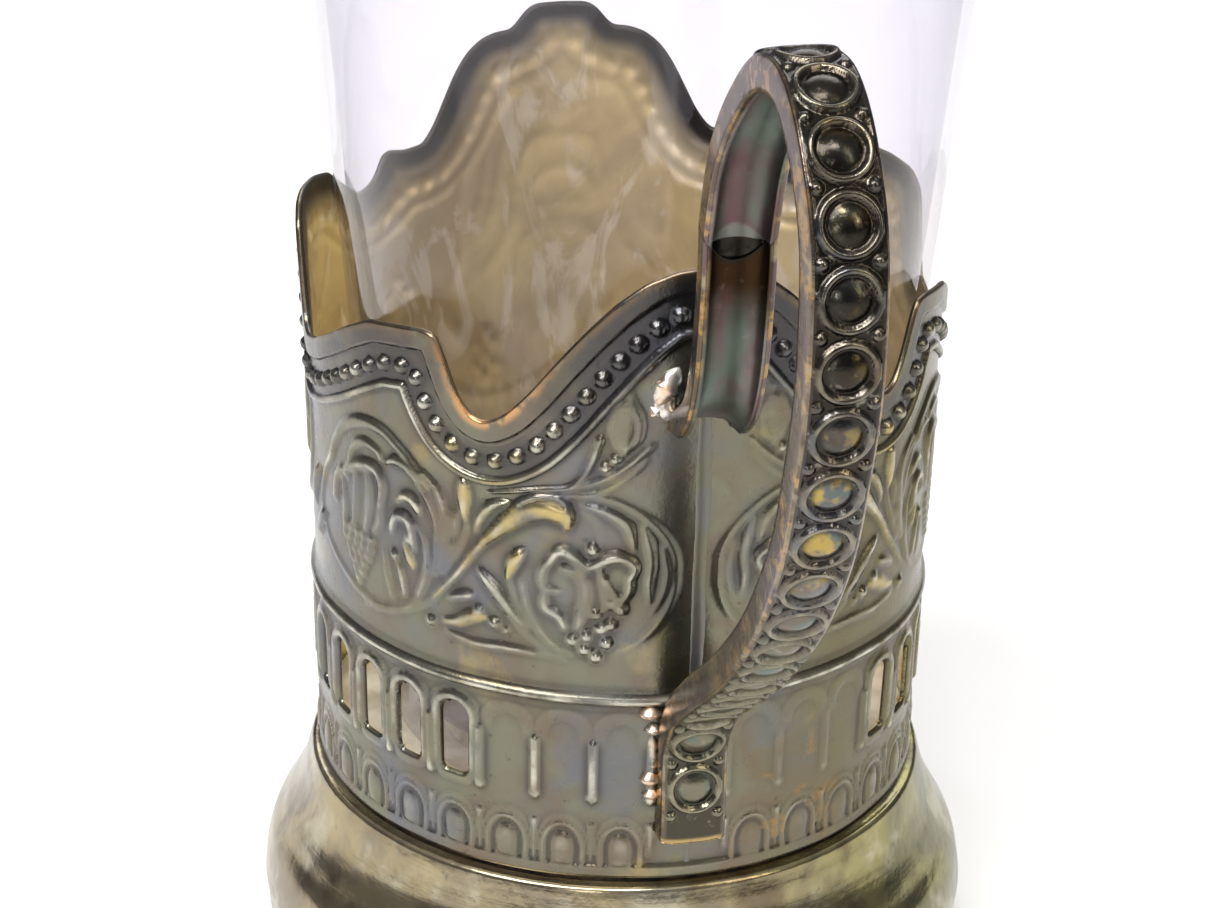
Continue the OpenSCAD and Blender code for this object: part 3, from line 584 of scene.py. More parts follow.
def make_sleeve():
    a, z, to_rim, rim_line = sleeve_grid()
    v, pierced = bay_place(a)
    away = window_distance(v, z)
    signed = (a + 180) % 360 - 180
    folded = np.abs(signed)
    r = Relief(folded * ARC, z)
    for mound in MOUNDS:
        r.mound(*mound)
    r.press(VINE + FROND + FLANK)
    front = r.h.copy()
    r.press(BACK)
    r.h = np.where(r.h > front, 1.2 * r.h, r.h)
    field = smoothstep(to_rim, RIM_LINE_DROP + 0.3, RIM_LINE_DROP + 0.8)
    pearls = Relief(a * ARC, z)
    for u, height in rim_pearls(rim_line):
        pearls.dot(u / ARC, height, PEARL_R, PEARL_H)
    h = np.maximum.reduce([
        blurred(r.h, 1) * field,
        gallery_relief(signed, v, pierced, z) * (z < GALLERY_TOP),
        0.5 * bump((to_rim - RIM_LINE_DROP) / 0.5),
        0.45 * smoothstep(-to_rim, -2.7, -2.2),
        pearls.h,
    ])
    # Round edges at the rim, the windows and the lower edge
    edge = np.minimum(to_rim, z)
    edge = np.where(pierced, np.minimum(edge, np.abs(away)), edge)
    tuck = EDGE_R * (1 - bump(np.clip(1 - edge / EDGE_R, 0, 1)))
    flare = 0.5 * smoothstep(z, 50, 66) * smoothstep(folded, 92, 100) * smoothstep(-folded, -152, -140)
    wall = sleeve_radius(z) + hammered(a, z) + flare
    outer = wall + h - tuck
    inner = np.minimum(wall - SLEEVE_T + 0.8 * blurred(h, 5) + tuck, outer - 0.05)
    points = np.vstack([around(radius, a * DEG, z + BASE_H) for radius in (outer, inner)])
    faces, edge_count = pierced_faces(a, z, pierced, away)
    used = np.zeros(len(points), bool)
    used[faces.ravel()] = True
    renumber = np.cumsum(used) - 1
    # Shades: hollows and crests of the relief, for painted shade and painted highlight, the worn rim, gold,
    # painted blue-black shade beside and under the handle, the inner face and painted shade along its rim
    cut = np.clip((h - blurred(h, 10)) / 0.3, -1, 1)
    worn = smoothstep(-to_rim, -1.3, -0.3)
    notch = smoothstep(-np.abs(folded - 36), -12, -6) * smoothstep(-to_rim, -8, -7) * smoothstep(h, 0.35, 0.6)
    gold = np.maximum(r.gold * field, notch * (to_rim > 3))
    # Painted blue-black shade left of the seam beside the strap, and under the rim beside the handle
    beside = 0.46 * np.exp(-((a + 4.6) / 3.4) ** 2) * smoothstep(z, 23.5, 27) * smoothstep(-z, -58, -36)
    beside = np.maximum(beside, 0.85 * smoothstep(-folded, -27, -12) * smoothstep(-to_rim, -8.5, -6.5))
    glow = np.clip(smoothstep(-np.abs(signed + 36), -13, -4) + 0.05, 0, 1)
    band = smoothstep(to_rim, 0.3, 0.8) * smoothstep(-to_rim, -RIM_LINE_DROP, -6.2)
    band = band * (0.75 - 0.5 * smoothstep(h, 0.6, 0.9)) * (1 - 0.7 * glow * (to_rim < 3))
    rust = np.exp(-((a - 16) / 11) ** 2 - ((z - 9) / 10) ** 2)
    rust = rust + 0.7 * np.exp(-((a + 12.5) / 2.5) ** 2 - ((z - 4) / 3) ** 2)
    none = np.zeros(z.shape)
    shades = {
        "cut": (cut, -0.4 * cut), "worn": (worn, 0.5 * worn), "gold": (gold, none), "tarnish": (beside, none),
        "glow": (glow, glow), "band": (band, none), "rust": (rust, none), "inside": (none, none + 1),
        "brink": (none, smoothstep(-to_rim, -5.2, -1.3)),
    }
    shades = {key: np.concatenate([side.ravel() for side in sides])[used] for key, sides in shades.items()}
    flat = np.arange(len(faces) - edge_count, len(faces))
    return mesh_object("sleeve_shell", points[used], renumber[faces], flat, shades)


# The handle

STRAP_FACE_R = 37.4
STRAP_REACH = 84.4
STRAP_TOP = 105.3
STRAP_FOOT_H = 5.6
STRAP_HALF = 3.8
STRAP_FACE_HALF = 3.3
STRAP_D = 3.5
STRAP_FOOT_D = 2.3
STRAP_T = 0.85
BOSS_COUNT = 23
BOSS_START = 3.6
BOSS_END = 4.8
BRACKET_D = 3.2
STRAP_BOSSES = (BOSS_START, BOSS_COUNT)
BRACKET_BOSSES = (1.2, 5)
LAP_GAP = 0.9
WEB_INSET = 0.85
STRAP_SHARES = [
    (0, 0.115), (0.012, 0.165), (0.085, 0.217), (0.215, 0.265), (0.445, 0.345), (0.655, 0.432), (0.825, 0.531),
    (0.945, 0.649), (1, 0.77), (0.975, 0.88), (0.868, 0.963), (0.705, 1), (0.525, 0.985), (0.35, 0.926),
    (0.215, 0.845), (0.158, 0.77),
]
BRACKET_SHARES = [(0.15, 0.7), (0.142, 0.645), (0.11, 0.6), (0.045, 0.563), (-0.12, 0.519)]
SHOULDER_R = 0.3
FACE_POINTS = 40
SWEEP_STEP = 0.2
END_RUN = 12.0


def strap_point(share):
    return (STRAP_FACE_R + (STRAP_REACH - STRAP_FACE_R) * share[0], BASE_H + STRAP_TOP * share[1])


strap_line = np.vstack([[(STRAP_FACE_R, BASE_H + STRAP_FOOT_H)],
                        smooth_line([strap_point(s) for s in STRAP_SHARES], 24)])
strap_len = lengths(strap_line)[-1]
boss_pitch = (strap_len - BOSS_START - BOSS_END) / BOSS_COUNT
bracket_top = strap_line[-1] - (0, LAP_GAP)
bracket_line = smooth_line([bracket_top] + [strap_point(s) for s in BRACKET_SHARES], 24)
bracket_len = lengths(bracket_line)[-1]


def boss_relief(run, across, offset, count):
    """Ring bosses in a row on a strip's face, with four small pearls round each: height, share of dome."""
    i = np.clip(np.floor((run - offset) / boss_pitch), 0, count - 1)
    away = np.hypot(run - offset - (i + 0.5) * boss_pitch, across)
    h = 0.56 * np.clip(1 - (away / 1.98) ** 2, 0, 1)
    h = np.maximum(h, 0.6 * bump((away - 2.72) / 0.4) ** 0.85)
    k = np.clip(np.round((run - offset) / boss_pitch), 0, count)
    pearl = np.hypot(run - offset - k * boss_pitch, np.abs(across) - 2.62)
    h = np.maximum(h, 0.5 * bump(pearl / 0.6))
    edge = 0.1 * bump((np.abs(across) - 3.2) / 0.2)
    return np.maximum(h, edge), smoothstep(-away, -2.15, -1.9)


def section():
    """The channel's outer side: across, share of the depth, drop, face; and its inner side: across, share."""
    q = np.array([1.0, 0.93, 0.8, 0.6, 0.35, 0.16])
    b = STRAP_HALF + (STRAP_FACE_HALF + SHOULDER_R - STRAP_HALF) * (1 - q) ** 1.5
    b[0] = STRAP_HALF - 0.2
    turn = np.linspace(80, 10, 4) * DEG
    left = [(-x, share, 0, 0) for x, share in zip(b, q)]
    left += [(-STRAP_FACE_HALF - SHOULDER_R * math.sin(t), 0, SHOULDER_R * (1 - math.cos(t)), 0) for t in turn]
    face = [(x, 0, 0, 1) for x in np.linspace(-STRAP_FACE_HALF, STRAP_FACE_HALF, FACE_POINTS)]
    right = [(-x, share, drop, on) for x, share, drop, on in reversed(left)]
    outer = np.array(left + face + right)
    t = np.linspace(0, 180, len(outer)) * DEG
    return outer, -(STRAP_HALF - WEB_INSET) * np.cos(t), 1 - np.sin(t) ** 0.8


def swept_channel(line, depth, bosses, warp, meets_wall):
    """Points, quads, flat faces and shades of a channel; depth and warp go by the length along its line."""
    line = resample(line, SWEEP_STEP)
    run = lengths(line)
    # The line with straight ends added, for what the warp puts beyond it
    start = line[0] + END_RUN * (line[0] - line[1]) / SWEEP_STEP
    end = line[-1] + END_RUN * (line[-1] - line[-2]) / SWEEP_STEP
    rail = np.vstack([start, line, end])
    rail_run = np.concatenate([[-END_RUN], run, [run[-1] + END_RUN]])
    normal = normals(line)
    outer, inner_b, inner_q = section()
    across = np.concatenate([outer[:, 0], inner_b[::-1]])
    count = len(outer)
    s = run[:, None] + warp(run, across[None, :])
    depths = depth(np.clip(s, 0, run[-1]))
    n = np.empty_like(s)
    n[:, :count] = -outer[:, 1] * depths[:, :count] - outer[:, 2]
    raised, dome_share = boss_relief(s[:, :count], outer[:, 0][None, :], *bosses)
    n[:, :count] += outer[:, 3] * raised
    n[:, count:] = -STRAP_T - (depths[:, count:] - STRAP_T) * inner_q[::-1]
    wave = 0.05 * np.sin(s / 5.3 + 1) + 0.04 * np.sin(s / 2.7)

    def at(s, n):
        return [np.interp(s, rail_run, rail[:, k]) + n * np.interp(s, run, normal[:, k]) for k in (0, 1)]

    if meets_wall:
        for j in range(len(across)):
            x, z = at(s[:, j], n[:, j])
            inside = np.hypot(x, across[j]) < sleeve_radius(z - BASE_H) + 0.05
            if inside.any():
                hit = s[np.argmax(inside), j]
                s[:, j] += (hit - s[-1, j]) * smoothstep(s[:, j], hit - 6, s[-1, j]) ** 0.7
    x, z = at(s, n)
    y = np.broadcast_to(across, x.shape) + wave
    limit = sleeve_radius(z - BASE_H) + 0.04
    pushed = np.sqrt(np.maximum(limit ** 2 - y ** 2, 0))
    x = np.where(np.hypot(x, y) < limit, pushed, x)
    points = rows_of(x, y, z)

    def shade(side, values):
        full = np.zeros(x.shape)
        full[:, side] = values
        return full

    face, shoulder = outer[:, 3], outer[:, 2] > 0
    front, trough = slice(count), slice(count, None)
    # The strap's end shows as a bright lens in its trough
    edge = run[-1] - 2.0 * np.clip(1 - (inner_b[::-1] / (STRAP_HALF - 0.9)) ** 2, 0, 1)
    lens = smoothstep(run[:, None] - edge[None, :], 0, 0.25)
    shades = {
        "face": shade(front, face),
        "low": shade(front, face * np.clip(1 - raised / 0.25, 0, 1)),
        "dome": shade(front, face * dome_share),
        "crest": shade(front, face * (1 - dome_share) * smoothstep(raised, 0.4, 0.6) + 0.9 * shoulder),
        "trough": shade(trough, 1),
        "lip": shade(slice(None), smoothstep(-run, -0.7, -0.3)[:, None]),
        "lens": shade(trough, 0 if meets_wall else lens),
    }
    faces, flat = capped(*x.shape, count)
    return points, outwards(points, faces), flat, shades


def capped(rows, columns, count):
    """Faces of a run of closed sections, count points on their outer side, and the numbers of the end faces."""
    faces = grid_faces(rows, columns)
    k = np.arange(count - 1)
    cap = np.stack([k, k + 1, columns - 2 - k, columns - 1 - k], axis=1)
    faces = np.vstack([faces[:, ::-1], cap[:, ::-1], cap + (rows - 1) * columns])
    return faces, np.arange(len(faces) - 2 * len(cap), len(faces))


def strap_depth(s):
    return STRAP_FOOT_D + (STRAP_D - STRAP_FOOT_D) * smoothstep(s, 0, strap_len * 0.2)


def bracket_depth(s):
    return BRACKET_D - 1.3 * smoothstep(s, bracket_len - 7, bracket_len)


def strap_warp(run, across):
    """The strap's end is cut like a smile: its web reaches lower than its flanges."""
    reach = 2.1 - 2.6 * (np.abs(across) / STRAP_HALF) ** 2
    heel = -0.5 * (np.abs(across) / STRAP_HALF) ** 3
    near_end, near_foot = smoothstep(run, strap_len - 5, strap_len), 1 - smoothstep(run, 0, 4)
    return near_end[:, None] * reach - near_foot[:, None] * heel


def bracket_warp(run, across):
    """The bracket's top is cut out between its flanges, which meet the strap's."""
    reach = -0.75 + 3.6 * np.clip(1 - (np.abs(across) / (STRAP_HALF - 0.5)) ** 2, 0, 1) ** 0.8
    return (1 - smoothstep(run, 0, 7))[:, None] * reach


def make_lap():
    """Solder under the strap's end: a patch of web coloured near-black, painted shadow in the gap between the
    strap and the bracket.
    """
    head = strap_line[lengths(strap_line) > strap_len - 1.8]
    tail = bracket_line[lengths(bracket_line) < 4.2]
    line = resample(np.vstack([head, tail]), 0.3)
    t = np.linspace(22, 158, 23) * DEG
    across = -(STRAP_HALF - WEB_INSET) * np.cos(t)
    upper = -STRAP_T - (STRAP_D - STRAP_T) * (1 - np.sin(t) ** 0.8) + 0.4
    x, z = set_off(line, np.concatenate([upper, upper[::-1] + 0.3]))
    points = rows_of(x, np.concatenate([across, across[::-1]]) + 0 * x, z)
    return mesh_object("lap_patch", points, outwards(points, capped(*x.shape, len(across))[0]))


def merged(*parts):
    """One set of points, faces, flat faces and shades out of several."""
    points, faces, flat = [], [], []
    above = done = 0
    for p, f, keep, _ in parts:
        points.append(p)
        faces.append(np.asarray(f) + above)
        flat.append(np.asarray(keep, int) + done)
        above += len(p)
        done += len(f)
    shades = {k: np.concatenate([part[3][k] for part in parts]) for k in parts[0][3]}
    return np.vstack(points), np.vstack(faces), np.concatenate(flat), shades


# Base, floor, seam, solder and glass

BASE_T = 0.8
BULGE_R = 42.2
BULGE_H = 10.0
FOOT_R = 41.0
SHOULDER = 36.2
RING_H = 1.8
RING_PROUD = 0.8
WAVE_R = 42.0
BASE_SIDES = 384
COLLAR_H = 2.9
COLLAR_R = SLEEVE_R - SLEEVE_T - 0.1
BASE_TOP = BASE_H - 0.6
BASE_SHARES = [(0, 0), (0.09, 0.116), (0.263, 0.33), (0.6, 0.573), (0.87, 0.756), (1, 1)]
BASE_LOW_SHARES = [(0.92, 0.24), (0.67, 0.58), (0.28, 0.86)]
RING_SHARES = [(0.05, 1), (0.5, 0.93), (0.88, 0.72), (1, 0.45), (0.88, 0.2), (0.5, 0.02)]


def base_profile():
    """Closed outline of the base: down its outside, round the rolled ring, and up its inside."""
    bell = [(SHOULDER + (BULGE_R - SHOULDER) * a, BASE_TOP - (BASE_TOP - BULGE_H) * b) for a, b in BASE_SHARES]
    bell += [(FOOT_R + (BULGE_R - FOOT_R) * a, BULGE_H - (BULGE_H - RING_H) * b) for a, b in BASE_LOW_SHARES]
    bell = resample(smooth_line(bell + [(FOOT_R + 0.05, RING_H)], 12), 0.3)
    ring = smooth_line([(FOOT_R + RING_PROUD * a, RING_H * b) for a, b in RING_SHARES], 5)
    inside = bell + BASE_T * normals(bell)
    inside = inside[(inside[:, 1] < BASE_TOP - BASE_T) & (inside[:, 0] > COLLAR_R - 0.6)]
    top = [(COLLAR_R, BASE_H + COLLAR_H), (COLLAR_R, BASE_TOP), (SHOULDER - 0.45, BASE_TOP),
           (SHOULDER - 0.15, BASE_TOP - 0.08)]
    foot = [(FOOT_R - 0.35, 0.03), (FOOT_R - BASE_T - 0.1, 0.3), (FOOT_R - BASE_T - 0.1, RING_H)]
    low = [(COLLAR_R - BASE_T, BASE_TOP - BASE_T), (COLLAR_R - BASE_T, BASE_H + COLLAR_H)]
    return np.vstack([top, bell[1:], ring, foot, inside[::-1], low])


def spun_waves(points):
    """The same points with the slow waves of spun sheet, which fade out at the ring."""
    a, z = np.arctan2(points[:, 1], points[:, 0]), points[:, 2]
    wave = (0.06 * np.sin(3 * a + 0.7) + 0.04 * np.sin(5 * a + z / 7) + 0.03 * np.sin(11 * a - z / 3)
            + 0.018 * np.sin(z * 2.1 + 2 * np.sin(3 * a)))
    grow = 1 + wave * smoothstep(z, 2, 7) / WAVE_R
    return points * np.stack([grow, grow, 1 + 0 * grow], axis=1)


GLASS_H = 102.0
GLASS_FOOT_R = 28.1
GLASS_FLARE = 9.2
GLASS_T = 1.3
GLASS_FLOOR_T = 4.0
GLASS_SHIFT = 1.3
GLASS_LIP_R = GLASS_T / 2
GLASS_OUT_R = 2.2
GLASS_IN_R = 3.2
GLASS_SIDES = 160


def make_glass():
    def radius(h):
        return GLASS_FOOT_R + GLASS_FLARE * h / GLASS_H

    def corner(r, h, size, start, end, steps):
        t = np.linspace(start, end, steps) * DEG
        return [(r + size * math.cos(x), h + size * math.sin(x)) for x in t]

    # From the push-up under its foot, out, up, over the lip, down inside and to the middle of its floor
    profile = np.array(
        [(0.02, 1.12), (4, 1.1), (12, 0.9), (20, 0.35)]
        + corner(radius(0) - GLASS_OUT_R, GLASS_OUT_R, GLASS_OUT_R, -90, -5, 9)
        + [(radius(h), h) for h in np.linspace(4, GLASS_H - 2, 30)]
        + corner(radius(GLASS_H) - GLASS_LIP_R, GLASS_H - GLASS_LIP_R, GLASS_LIP_R, 0, 180, 11)
        + [(radius(h) - GLASS_T, h) for h in np.linspace(GLASS_H - 2, GLASS_FLOOR_T + 4, 30)]
        + corner(radius(4) - GLASS_T - GLASS_IN_R, GLASS_FLOOR_T + GLASS_IN_R, GLASS_IN_R, 0, -90, 9)
        + [(12, GLASS_FLOOR_T + 0.1), (0.02, GLASS_FLOOR_T + 0.3)])
    return turned("tea_glass", profile + (0, SEAT_H), GLASS_SIDES, lambda points: points + (0, GLASS_SHIFT, 0))


def wall_run(path, halves, proud, ripple, sections=28):
    """Solder run along the sleeve's face: path of (angle, height), half widths and how far it stands out."""
    line = resample(smooth_line([(a * ARC, z) for a, z in path], 10), 0.14)
    run = lengths(line)
    share = run / run[-1]
    knots = np.linspace(0, 1, len(halves))
    swing = 1 + ripple * np.sin(run * 2.3) + ripple * 0.7 * np.sin(run * 5.1 + 1)
    half = np.interp(share, knots, halves) * swing
    out = np.interp(share, knots, proud) * (1 + ripple * np.sin(run * 2.9 + 2))
    taper = np.sqrt(np.clip(np.minimum(run, run[-1] - run) / 0.9, 0, 1))
    half, out = half * taper + 0.02, out * taper
    t = np.linspace(0, 180, sections) * DEG
    high = -0.15 + (np.sin(t) ** 0.85)[None, :] * (out + 0.15)[:, None]
    u, z = set_off(line, -np.cos(t)[None, :] * half[:, None])
    points = around(sleeve_radius(z) + hammered(u / ARC, z) + high, u / ARC * DEG, z + BASE_H)
    return points, outwards(points, grid_faces(len(line), sections)), np.arange(0), {}


def solder_piece(name, *runs):
    return mesh_object(name, *merged(*(wall_run(*run) for run in runs)))


bracket_lumps = solder_piece(
    "bracket_lumps",
    ([(-4.3, 62), (-5.8, 60.4), (-7.1, 58.9), (-8, 57.4)],
     [0.6, 1.0, 1.3, 0.9, 0.5], [0.4, 0.8, 1.2, 0.8, 0.4], 0.07),
    ([(-8.9, 57.6), (-8.1, 57), (-7.4, 56.3)], [0.5, 0.8, 0.5], [0.3, 0.8, 0.4], 0.06),
    ([(-5, 58.6), (-6.2, 57.4), (-5.6, 55.9)], [0.6, 1.2, 0.7], [0.3, 0.6, 0.3], 0.08),
)
foot_lumps = solder_piece(
    "foot_lumps",
    ([(-7.2, 22.2), (-7.4, 21.2), (-7.2, 20.2)], [0.9, 1.25, 1], [1, 1.5, 1], 0.05),
    ([(-6.9, 20), (-6.8, 19.2), (-7, 18.2)], [0.7, 1.1, 0.6], [0.8, 1.2, 0.6], 0.05),
    ([(-7, 18.4), (-6.8, 16), (-6.9, 13.6)], [0.5, 0.55, 0.5], [0.4, 0.45, 0.4], 0.1),
    ([(-7, 14), (-7.2, 12.8), (-7.1, 11.8)], [0.7, 1.1, 0.8], [0.8, 1.2, 0.8], 0.05),
    ([(-7, 11.9), (-6.9, 11), (-7, 10)], [0.7, 1, 0.5], [0.7, 1.1, 0.5], 0.05),
)
seam_strip = solder_piece(
    "seam_strip",
    ([(0.3, 24), (0.5, 31), (0.3, 38), (0.6, 45), (0.4, 52), (0.5, 60), (0.3, 70)],
     [0.7, 0.85, 0.75, 0.9, 0.75, 0.8, 0.6], [0.14, 0.17, 0.14, 0.17, 0.14, 0.14, 0.08], 0.02, 16),
    ([(0, 0.6), (0.2, 8), (0, 16), (0.2, 23)], [0.35, 0.5, 0.5, 0.6], [0.03, 0.16, 0.16, 0.16], 0.03, 16),
)


# Materials

NOISE_ROUGHNESS = 0.55


class Look:
    """A procedural material, built node by node; coordinates are metres of the row frame."""

    def __init__(self, name, shift=0):
        self.material = bpy.data.materials.new(name)
        self.material.use_nodes = True
        self.tree = self.material.node_tree
        self.shader = self.tree.nodes["Principled BSDF"]
        self.place = self.tree.nodes.new("ShaderNodeTexCoord").outputs["Object"]
        self.shift = shift

    def node(self, kind, **inputs):
        made = self.tree.nodes.new(kind)
        for key, value in inputs.items():
            self.feed(made.inputs[key.replace("_", " ")], value)
        return made

    def feed(self, socket, value):
        """Link a socket, or set a number or a colour to it."""
        if isinstance(value, bpy.types.NodeSocket):
            self.tree.links.new(value, socket)
        else:
            socket.default_value = (*value, 1) if socket.type == "RGBA" else value

    def noise(self, scale, detail, shift=0, twist=0, stretch=(1, 1, 1)):
        shift += self.shift
        place = self.node("ShaderNodeMapping", Vector=self.place, Scale=stretch,
                          Location=(shift, shift * 0.7, -shift))
        made = self.node("ShaderNodeTexNoise", Vector=place.outputs["Vector"], Scale=scale, Detail=detail,
                         Roughness=NOISE_ROUGHNESS, Distortion=twist)
        return made.outputs["Fac"]

    def share(self, value):
        """A number or socket as it is, a shade by its name, or patches of noise by their numbers.

        The numbers are scale, detail, noise at which a patch begins and is full, shift, twist and stretch.
        """
        if isinstance(value, str):
            made = self.tree.nodes.new("ShaderNodeAttribute")
            made.attribute_name = value
            return made.outputs["Fac"]
        if isinstance(value, tuple):
            scale, detail, low, high, *form = value
            return self.ramp(self.noise(scale, detail, *form), low, high)
        return value

    def ramp(self, value, low, high):
        """0 below low, 1 above high, smooth between."""
        made = self.node("ShaderNodeMapRange", Value=self.share(value), From_Min=low, From_Max=high)
        made.interpolation_type = "SMOOTHSTEP"
        return made.outputs["Result"]

    def maths(self, operation, *values):
        made = self.tree.nodes.new("ShaderNodeMath")
        made.operation = operation
        for socket, value in zip(made.inputs, values):
            self.feed(socket, self.share(value))
        return made.outputs["Value"]

    def times(self, first, *others):
        for other in others:
            first = self.maths("MULTIPLY", first, other)
        return first

    def line(self, start, slope, value):
        """start + slope * value"""
        return self.maths("MULTIPLY_ADD", value, slope, start)

    def mix(self, share, a, b):
        made = self.tree.nodes.new("ShaderNodeMix")
        made.data_type = "RGBA"
        self.feed(made.inputs["Factor"], self.share(share))
        colours = [s for s in made.inputs if s.type == "RGBA"]
        self.feed(colours[0], a)
        self.feed(colours[1], b)
        return [s for s in made.outputs if s.type == "RGBA"][0]

    def coats(self, colour, *coats):
        """A first colour under coats of (colour, shares); each covers as far as the product of its shares."""
        for coat, *shares in coats:
            colour = self.mix(self.times(*shares), colour, coat)
        return colour

    def along(self, axis):
        return self.node("ShaderNodeSeparateXYZ", Vector=self.place).outputs[axis]

    def bumps(self, *layers):
        """Stacked bumps: (height, distance in metres, strength)."""
        normal = None
        for value, distance, strength in layers:
            made = self.node("ShaderNodeBump", Height=value, Distance=distance, Strength=strength)
            if normal is not None:
                self.feed(made.inputs["Normal"], normal)
            normal = made.outputs["Normal"]
        self.feed(self.shader.inputs["Normal"], normal)

    def finish(self, colour, metallic, roughness):
        self.feed(self.shader.inputs["Base Color"], colour)
        self.feed(self.shader.inputs["Metallic"], metallic)
        self.feed(self.shader.inputs["Roughness"], roughness)
        return self.material


OLIVE = (0.165, 0.16, 0.115)
BROWN = (0.155, 0.125, 0.092)
VIOLET = (0.138, 0.14, 0.15)
GOLD = (0.42, 0.33, 0.13)
BRIGHT = (0.56, 0.54, 0.45)
DARK = (0.035, 0.033, 0.032)
BLUE_BLACK = (0.028, 0.032, 0.045)
MUSTARD = (0.135, 0.115, 0.052)
RIM_GREY = (0.06, 0.055, 0.055)
RIM_BROWN = (0.11, 0.085, 0.06)
COPPER = (0.46, 0.26, 0.12)
RUST = (0.32, 0.18, 0.06)
KHAKI = (0.82, 0.66, 0.28)
KHAKI_DULL = (0.58, 0.45, 0.22)
KHAKI_PALE = (0.94, 0.84, 0.56)
BRINK = (0.026, 0.023, 0.018)


def sleeve_look():
    m = Look("tarnished sleeve")
    lining = m.coats(
        KHAKI,
        (KHAKI_DULL, (45, 5, 0.38, 0.66, 11, 1)),
        # Painted highlight streaks on the inner face
        (KHAKI_PALE, (70, 6, 0.5, 0.62, 14, 2.5, (1.4, 1.4, 0.7)), 0.65),
        # Painted shade on the inner face along the rim
        (BRINK, "brink"))
    colour = m.coats(
        OLIVE,
        (BROWN, (110, 6, 0.38, 0.66, 0, 0.8)),
        (VIOLET, (85, 5, 0.44, 0.7, 1, 0.5)),
        (GOLD, (120, 5, 0.58, 0.75, 2), 0.4),
        # Painted warm shade on the right-hand side
        (MUSTARD, m.ramp(m.along("Y"), -0.004, 0.03), 0.8),
        # Painted shade in the relief's hollows, painted highlight on its crests
        (DARK, m.ramp("cut", 0.05, -0.5), 0.6),
        (BRIGHT, m.ramp("cut", 0.15, 0.9), (300, 4, 0.3, 0.75, 3)),
        # Painted blue-black shade beside and under the handle
        (BLUE_BLACK, "tarnish", (80, 3, 0.15, 0.5, 9)),
        (GOLD, "gold", (300, 5, 0.3, 0.68, 10)),
        (RIM_GREY, "band", (130, 4, 0.2, 0.6, 12)),
        (m.mix("glow", RIM_BROWN, COPPER), "worn", (420, 4, 0.36, 0.52, 4)),
        (DARK, (700, 3, 0.66, 0.74, 5), 0.4),
        (RUST, "rust", (210, 5, 0.54, 0.7, 13.4, 0.6)),
        (lining, "inside"))
    m.bumps((m.noise(2600, 3, 7), 0.00005, 0.4), (m.noise(420, 4, 8), 0.00012, 0.5))
    rough = m.line(m.line(0.15, 0.26, m.noise(150, 5, 6)), 0.1, "inside")
    return m.finish(colour, m.line(0.95, -0.5, "inside"), rough)


HANDLE = (0.145, 0.12, 0.095)
HANDLE_LOW = (0.16, 0.15, 0.105)
GREEN = (0.105, 0.13, 0.105)
WINE = (0.13, 0.07, 0.075)
NIGHT = (0.022, 0.018, 0.014)
GLIMMER = (0.085, 0.06, 0.022)
FLANK_BROWN = (0.11, 0.078, 0.05)
FLANK_PLUM = (0.12, 0.085, 0.085)
FLANK_PALE = (0.27, 0.22, 0.14)
SPECK = (0.42, 0.25, 0.09)
CHANNEL_GREY = (0.2, 0.2, 0.18)
LAP_SHADE_BROWN = (0.03, 0.014, 0.004)
LENS = (0.2, 0.215, 0.19)
TEAL = (0.1, 0.145, 0.14)
STAIN_GOLD = (0.42, 0.30, 0.07)
RUBBED_HIGHLIGHT = (0.28, 0.245, 0.175)
WORN = (0.3, 0.27, 0.22)
CUT_END = (0.38, 0.27, 0.12)


